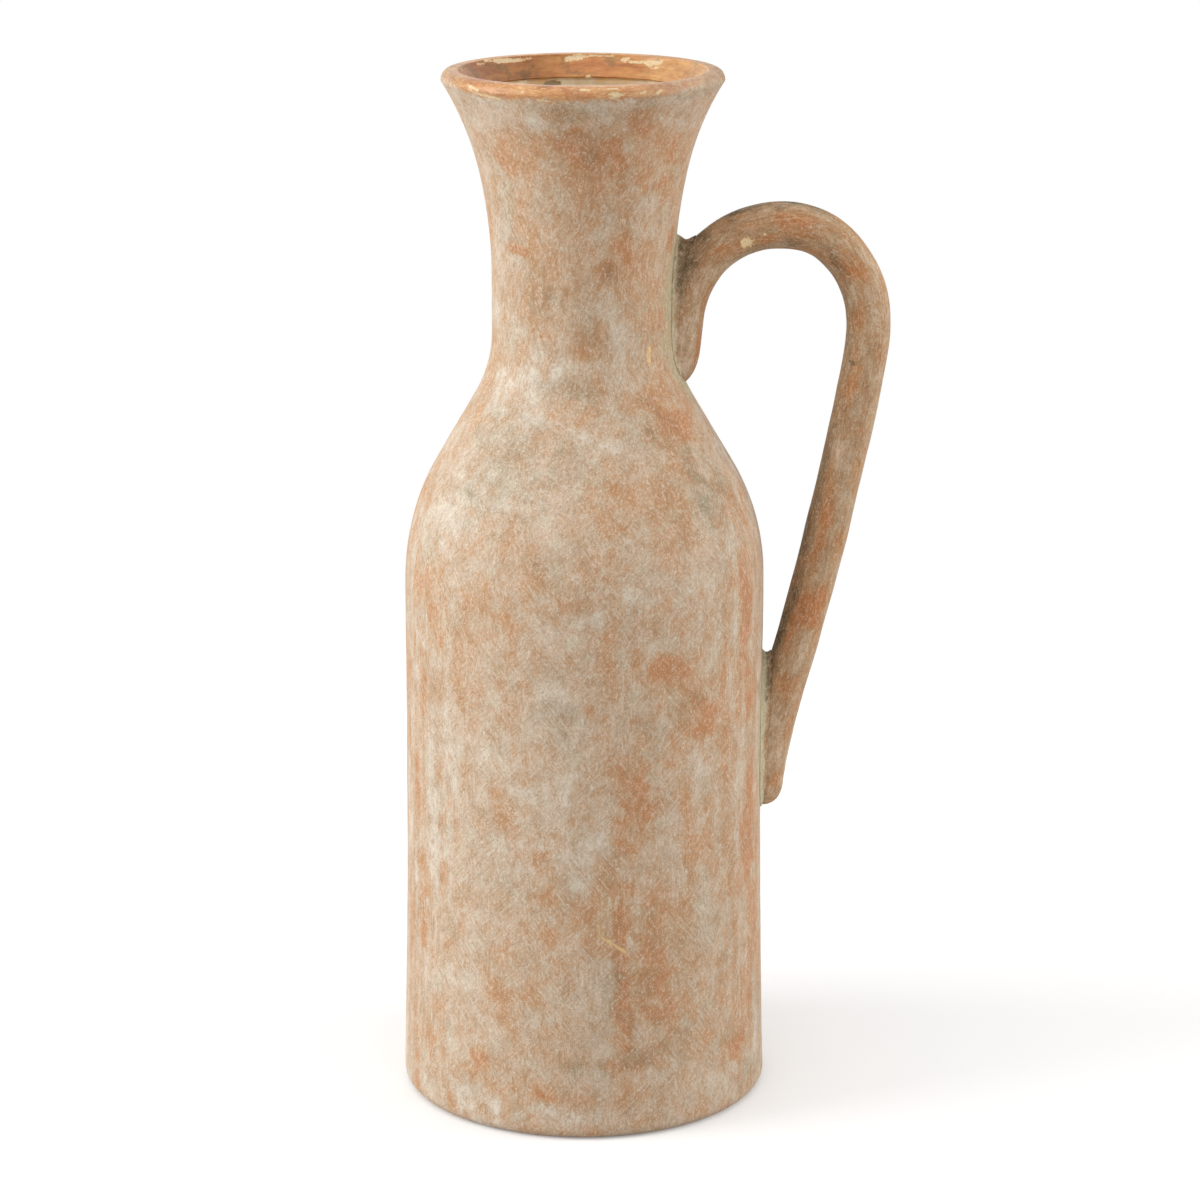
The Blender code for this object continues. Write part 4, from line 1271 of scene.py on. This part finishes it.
def washedSurface(tree, place, look):
    # Colour and height of orange clay under a wash that was brushed on thinly and rubbed off again
    size = washSizes
    warm, grimeAndShade, fringe = split(tree, fromMesh(tree, "stainAndPaintedLight"))
    wide = stretched(tree, place, look["alongPatches"])
    patches = cloud(tree, wide, size["patches"], 3.0, 0.60)
    mottled = shifted(tree, stretched(tree, place, look["alongMottle"]), (0.3, 0.1, 0.7))
    mottle = cloud(tree, mottled, size["mottle"], 5.0, 0.74)
    film = cloud(tree, shifted(tree, mottled, (0.6, 0.3, 0.5)), look["filmSize"], 5.0, 0.80)

    # Brush strokes that lean both ways or run down, and fine curls, threads and grain all over
    def brushed(where, along):
        return cloud(tree, stretched(tree, where, along), size["stroke"], 2.0, 0.5, 0.4)

    down = brushed(place, size["alongDown"])
    leanLeft = brushed(twisted(tree, place, size["turnLeft"]), size["alongLeaning"])
    leanRight = brushed(twisted(tree, place, size["turnRight"]), size["alongLeaning"])
    way = cloud(tree, shifted(tree, place, (0.5, 0.6, 0.1)), size["ways"], 2.0)
    strokes = lerp(tree, ramp(tree, way, *washMix["leanRight"]), leanLeft, leanRight)
    strokes = lerp(tree, ramp(tree, way, *washMix["runDown"]), strokes, down)
    curls = cloud(tree, place, size["curls"], 2.0, 0.6, 1.8)
    grain = cloud(tree, shifted(tree, place, (0.2, 0.5, 0.3)), size["grain"], 2.0, 0.7)
    threadPlace = stretched(tree, place, look["alongThreads"])
    pale = threads(tree, threadPlace, size["pale"], size["paleWidth"])
    dark = threads(tree, shifted(tree, threadPlace, (0.8, 0.7, 0.6)), size["dark"], size["darkWidth"])

    # At both sides of the pot the brush ran up and down, in broad sweeps
    sweeps = cloud(tree, stretched(tree, place, size["alongSweep"]), size["sweep"], 3.0, 0.6)
    sideways = calc(tree, "ABSOLUTE", split(tree, place)[0])
    sideways = ramp(tree, sideways, look["sweepFrom"], look["sweepTo"])
    cover = weighed(tree, 0.5, (patches, look["patches"]), (mottle, look["mottle"]))
    cover = weighed(tree, cover, (strokes, look["strokeCover"]))
    cover = weighed(tree, cover, (lerp(tree, sideways, 0.5, sweeps), look["sweeps"]))
    broken = times(tree, warm, weighed(tree, 1.0, (mottle, washMix["warmMottle"])))
    cover = calc(tree, "MULTIPLY_ADD", broken, washMix["warmth"], cover)
    colour = shades(tree, cover, look["shades"])
    filmed = times(tree, ramp(tree, film, *washMix["filmBand"]), look["filmShare"])
    colour = blend(tree, filmed, colour, look["film"])
    # the dark colour here is real grime together with the painted shade that the mesh's stains carry
    grimeAndShadeAmount = times(tree, grimeAndShade, look["grimeAndShadeShare"])
    uneven = weighed(
        tree, washMix["grimeAndShadeStart"], (mottle, washMix["grimeAndShadeMottle"]), (film, washMix["grimeAndShadeFilm"]),
    )
    grimeAndShadeAmount = times(tree, grimeAndShadeAmount, uneven)
    colour = blend(tree, clamped(tree, grimeAndShadeAmount), colour, look["grimeAndShade"])
    greenish = weighed(tree, fringe, (mottle, washMix["fringeMottle"]))
    greenish = ramp(tree, greenish, *washMix["fringeBand"])
    colour = blend(tree, times(tree, greenish, look["fringeShare"]), colour, look["fringe"])

    # The fine marks are whitish wash left over, or umber where it is rubbed away
    fine = weighed(tree, 0.0, (curls, look["curls"]), (grain, look["grain"]), (strokes, look["strokes"]))
    fine = calc(tree, "MULTIPLY_ADD", pale, look["paleThreads"], fine)
    fine = calc(tree, "MULTIPLY_ADD", dark, look["darkThreads"], fine)
    colour = blend(tree, clamped(tree, fine), colour, look["white"])
    colour = blend(tree, clamped(tree, times(tree, fine, -1.0)), colour, look["umber"])
    height = weighed(tree, 0.5, (curls, 0.5), (strokes, 0.5), (mottle, 0.8), (grain, 0.3))
    height = calc(tree, "MULTIPLY_ADD", dark, washMix["darkRelief"], height)
    return colour, height, grain


bareLook = {
    "cream": linear(226, 202, 160), "ochre": linear(214, 172, 118), "yellow": linear(230, 196, 144),
    "dark": linear(104, 86, 60), "shares": (0.88, 0.88, 0.66), "band": (0.30, 0.54), "start": (0.02, 0.2),
    "ochreBand": (0.95, 0.50), "ragged": 0.45, "spots": 0.9,
}


def bareClay(tree, colour, grain, lift=1.0):
    # Flakes and scratches laid over a finish, ragged by its own grain; a lift above 1 makes them brighter,
    # painted light
    bare = split(tree, fromMesh(tree, "bare"))
    for part, first, second in ((0, "cream", "ochre"), (1, "yellow", "ochre"), (2, "dark", "dark")):
        ragged = weighed(tree, bare[part], (grain, bareLook["ragged"]))
        here = ramp(tree, ragged, *bareLook["band"])
        here = times(tree, here, ramp(tree, bare[part], *bareLook["start"]))
        laidBare = blend(tree, ramp(tree, ragged, *bareLook["ochreBand"]), bareLook[first], bareLook[second])
        facts = {0: laidBare, "Scale": weighed(tree, lift, (grain, bareLook["spots"]))}
        laidBare = addNode(tree, "VectorMath", facts, operation="SCALE").outputs[0]
        colour = blend(tree, times(tree, here, bareLook["shares"][part]), colour, laidBare)
    return colour


sheenLook = {"roughness": 0.4, "tint": (1.0, 0.97, 0.92, 1.0)}


def startMaterial(name, roughness, sheen=0.0):
    material = bpy.data.materials.new(name)
    material.use_nodes = True
    tree = material.node_tree
    shader = tree.nodes["Principled BSDF"]
    shader.inputs["Roughness"].default_value = roughness
    shader.inputs["Sheen Weight"].default_value = sheen
    shader.inputs["Sheen Roughness"].default_value = sheenLook["roughness"]
    shader.inputs["Sheen Tint"].default_value = sheenLook["tint"]
    return material, tree, shader


def objectPlace(tree):
    return addNode(tree, "TexCoord").outputs["Object"]


def rodPlace(tree):
    return fromMesh(tree, "rodPlace")


def finishSurface(tree, shader, colour, height, depth):
    tree.links.new(colour, shader.inputs["Base Color"])
    bump = addNode(tree, "Bump", {"Strength": 1.0, "Distance": depth, "Height": height})
    tree.links.new(bump.outputs[0], shader.inputs["Normal"])


def washedMaterial(name, look, where, lift=1.0):
    material, tree, shader = startMaterial(name, look["roughness"], look["sheen"])
    colour, height, grain = washedSurface(tree, where(tree), look)
    finishSurface(tree, shader, bareClay(tree, colour, grain, lift), height, look["relief"])
    return material


washedClay = washedMaterial("washedClay", washLook, objectPlace)
# On the handle the bare clay is painted brighter: painted light that lifts it out of the handle's shade
rodClay = washedMaterial("brownClay", rodLook, rodPlace, 1.3)
lutingClay = washedMaterial("greenGreyClay", lutingLook, rodPlace)

# Satin orange glaze on the lip. The wash below it ends in brushed tongues and climbs the lip at both sides
lipLook = {
    "deep": linear(166, 104, 58), "middle": linear(199, 138, 86), "peach": linear(219, 168, 114),
    "thread": linear(238, 202, 146), "smudgeAndShade": linear(132, 108, 74), "dust": linear(204, 178, 156),
    "border": 0.4938, "soft": 0.0012, "slopeEdge": (flatEnd + 0.0006, flatEnd - 0.0010),
    "smudgeAndShadeBand": (0.54, 0.68), "smudgeAndShadeShare": 0.62, "shadedSide": (-0.020, -0.050), "leftShadeShare": 0.04,
    "stainAndShadeShare": 0.22, "lineWidth": 0.026, "brightShare": 0.75, "darkShare": 0.60,
    "dustBand": (0.56, 0.72), "dustShare": 0.6, "climbRight": (0.032, 0.060), "climbLeft": (-0.052, -0.066),
    "climb": -0.0045, "veil": (0.010, 0.048), "veilShare": 0.40,
    "wash": 0.85, "glaze": 0.36, "relief": 0.00006,
}
lipSizes = {
    "tone": 0.016, "streaks": 0.0045, "smudgesAndShade": 0.011, "bright": 0.0075, "dark": 0.0090, "dust": 0.007,
    "tongues": 0.0018, "wander": 0.014, "turn": 16.0,
}
# Painted light and shade along X: the slope inside the mouth is darker, most of all at the left, and lit at
# the right; the lip is darker towards its ends. Each tint: (where one starts, where it is full, its colour)
slopeShade = (0.60, 0.49, 0.31)
slopeLightAndShade = ((-0.024, -0.004, (0.86, 0.70, 0.38)), (0.010, 0.042, (1.08, 1.24, 1.20)))
lipShadeTints = (
    (0.020, 0.045, (0.84, 0.74, 0.56)), (0.050, 0.062, (0.56, 0.60, 0.58)),
    (-0.048, -0.062, (0.86, 0.93, 0.95)),
)
lipGlaze, tree, shader = startMaterial("orangeLipGlaze", 0.4)
place = objectPlace(tree)
washColour, washHeight, grain = washedSurface(tree, place, washLook)
x, y, z = split(tree, place)
fromAxis = calc(tree, "SQRT", calc(tree, "ADD", times(tree, x, x), times(tree, y, y)))
slope = ramp(tree, fromAxis, *lipLook["slopeEdge"])
tone = cloud(tree, stretched(tree, place, 3.5), lipSizes["tone"], 4.0, 0.6)
streaks = cloud(tree, stretched(tree, place, 6.0), lipSizes["streaks"], 3.0, 0.6)
glaze = shades(tree, weighed(tree, 0.5, (tone, 1.6), (streaks, 0.7)), (
    (0.15, lipLook["deep"]), (0.5, lipLook["middle"]), (0.85, lipLook["peach"]),
))
smudgesAndShade = cloud(tree, shifted(tree, place, (0.4, 0.2, 0.8)), lipSizes["smudgesAndShade"], 5.0, 0.75)
# painted shade on the left side of the slope, laid on with the smudge colour
shadedLeftSlope = times(tree, ramp(tree, x, *lipLook["shadedSide"]), slope)
# grime from the mesh, with painted shade among it
grimeAndShadeHere = split(tree, fromMesh(tree, "stainAndPaintedLight"))[1]
smudgesAndShade = calc(tree, "MULTIPLY_ADD", times(tree, grimeAndShadeHere, slope), lipLook["stainAndShadeShare"], smudgesAndShade)
smudgesAndShade = calc(tree, "MULTIPLY_ADD", shadedLeftSlope, lipLook["leftShadeShare"], smudgesAndShade)
smudgedAndShaded = ramp(tree, smudgesAndShade, *lipLook["smudgeAndShadeBand"])
glaze = blend(tree, times(tree, smudgedAndShaded, lipLook["smudgeAndShadeShare"]), glaze, lipLook["smudgeAndShade"])
along = stretched(tree, place, 5.0)
offSlope = calc(tree, "SUBTRACT", 1.0, slope)
brightLines = times(tree, threads(tree, along, lipSizes["bright"], lipLook["lineWidth"]), offSlope)
darkLines = threads(tree, shifted(tree, along, (0.3, 0.3, 0.3)), lipSizes["dark"], lipLook["lineWidth"])
darkLines = times(tree, darkLines, offSlope)
glaze = blend(tree, times(tree, brightLines, lipLook["brightShare"]), glaze, lipLook["thread"])
glaze = blend(tree, times(tree, darkLines, lipLook["darkShare"]), glaze, lipLook["deep"])
dusting = cloud(tree, shifted(tree, place, (0.7, 0.9, 0.1)), lipSizes["dust"], 5.0, 0.8)
dusty = times(tree, ramp(tree, dusting, *lipLook["dustBand"]), lipLook["dustShare"])
glaze = blend(tree, dusty, glaze, lipLook["dust"])
leaning = twisted(tree, place, lipSizes["turn"])
tongues = cloud(tree, stretched(tree, leaning, 0.22), lipSizes["tongues"], 3.0, 0.6)
climb = calc(tree, "ADD", ramp(tree, x, *lipLook["climbRight"]), ramp(tree, x, *lipLook["climbLeft"]))
edge = weighed(tree, z, (tongues, 0.0075), (cloud(tree, place, lipSizes["wander"], 3.0), 0.005))
edge = calc(tree, "MULTIPLY_ADD", climb, lipLook["climb"], edge)
glazed = ramp(tree, edge, lipLook["border"] - lipLook["soft"], lipLook["border"] + lipLook["soft"])
veil = weighed(tree, lipLook["veilShare"], (tongues, 1.6), (dusting, 1.2))
veil = times(tree, ramp(tree, x, *lipLook["veil"]), veil)
glazed = times(tree, glazed, calc(tree, "SUBTRACT", 1.0, clamped(tree, veil)))
glazed = calc(tree, "MAXIMUM", glazed, slope)
# painted light and shade, multiplied into the glaze
slopeLightTint, lipShadeTint = slopeShade, (1.0, 1.0, 1.0)
for start, full, tint in slopeLightAndShade:
    slopeLightTint = blend(tree, ramp(tree, x, start, full), slopeLightTint, tint)
for start, full, tint in lipShadeTints:
    lipShadeTint = blend(tree, ramp(tree, x, start, full), lipShadeTint, tint)
tint = blend(tree, slope, lipShadeTint, slopeLightTint)
glaze = addNode(tree, "VectorMath", {0: glaze, 1: tint}, operation="MULTIPLY").outputs[0]
colour = blend(tree, glazed, washColour, glaze)
roughness = lerp(tree, glazed, lipLook["wash"], lipLook["glaze"])
tree.links.new(roughness, shader.inputs["Roughness"])
finishSurface(tree, shader, bareClay(tree, colour, grain), washHeight, lipLook["relief"])

# Cream inside, with brown runs, and near the mouth yellow streaks that are a painted reflection
insideLook = {
    "cream": linear(238, 224, 198), "tan": linear(214, 188, 152), "yellow": linear(224, 176, 106),
    "tanBand": (0.42, 0.62), "reflectionBand": (0.54, 0.66), "reflectionShare": 0.7, "mouth": (0.472, 0.484),
    "tanSize": 0.015, "reflectionSize": 0.010, "grainSize": 0.0009, "lumpSize": 0.004,
    "roughness": 0.5, "relief": 0.0001,
}
creamInside, tree, shader = startMaterial("creamInside", insideLook["roughness"])
place = objectPlace(tree)
tanRuns = cloud(tree, stretched(tree, place, 0.3), insideLook["tanSize"], 4.0)
tanRuns = ramp(tree, tanRuns, *insideLook["tanBand"])
lining = blend(tree, tanRuns, insideLook["cream"], insideLook["tan"])
yellowReflection = cloud(tree, stretched(tree, place, 3.0), insideLook["reflectionSize"], 4.0)
mouthward = ramp(tree, split(tree, place)[2], *insideLook["mouth"])
mouthward = times(tree, mouthward, insideLook["reflectionShare"])
yellowReflection = times(tree, ramp(tree, yellowReflection, *insideLook["reflectionBand"]), mouthward)
lining = blend(tree, yellowReflection, lining, insideLook["yellow"])
insideGrain = cloud(tree, place, insideLook["grainSize"], 2.0, 0.7)
lumps = cloud(tree, place, insideLook["lumpSize"], 3.0)
finishSurface(tree, shader, bareClay(tree, lining, insideGrain), lumps, insideLook["relief"])

pieces = (  # each with its materials, its CAD node and its slot
    (bodyWall, (washedClay, creamInside), "body", "body"),
    (neckWall, (washedClay, creamInside), "neck", "neck"),
    (rimRing, (lipGlaze, creamInside), "rim_coil", "rim"),
    (handleRod, (rodClay,), "handle", "handle"),
    (kneaded["upperLuting"], (lutingClay,), "upper_luting", "luting"),
    (kneaded["lowerLuting"], (lutingClay,), "lower_luting", "luting"),
    (kneaded["seamCoil"], (creamInside,), "seam_coil", "inside"),
)
for piece, materials, node, slotName in pieces:
    piece.data.materials.clear()
    for material in materials:
        piece.data.materials.append(material)
    piece.data.shade_smooth()

# The lining covers what faces inwards, up to the groove under the lip's slope
liningBase, liningTop, liningReach = 0.004, noseZ - 0.4 * rim["nose"], noseR + 2.0 * groove
sharpEdges = {"wall": math.radians(55), "rod": math.radians(60)}
for piece in (bodyWall, neckWall, rimRing):
    for face in piece.data.polygons:
        inward = face.normal.xy.dot(face.center.xy) < 0.0
        if piece is rimRing:
            turned = face.center.z < liningTop and face.center.xy.length < liningReach
        else:
            turned = inward and face.center.z > liningBase
        face.material_index = 1 if turned else 0
    piece.data.set_sharp_from_angle(angle=sharpEdges["wall"])
handleRod.data.set_sharp_from_angle(angle=sharpEdges["rod"])
print("finishes are on")


# Each piece rides on the one body, and the CAD node it is drawn in place of is hidden

for piece, materials, node, slotName in pieces:
    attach(piece, "root")
    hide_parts(node)

print("all pieces are in place")
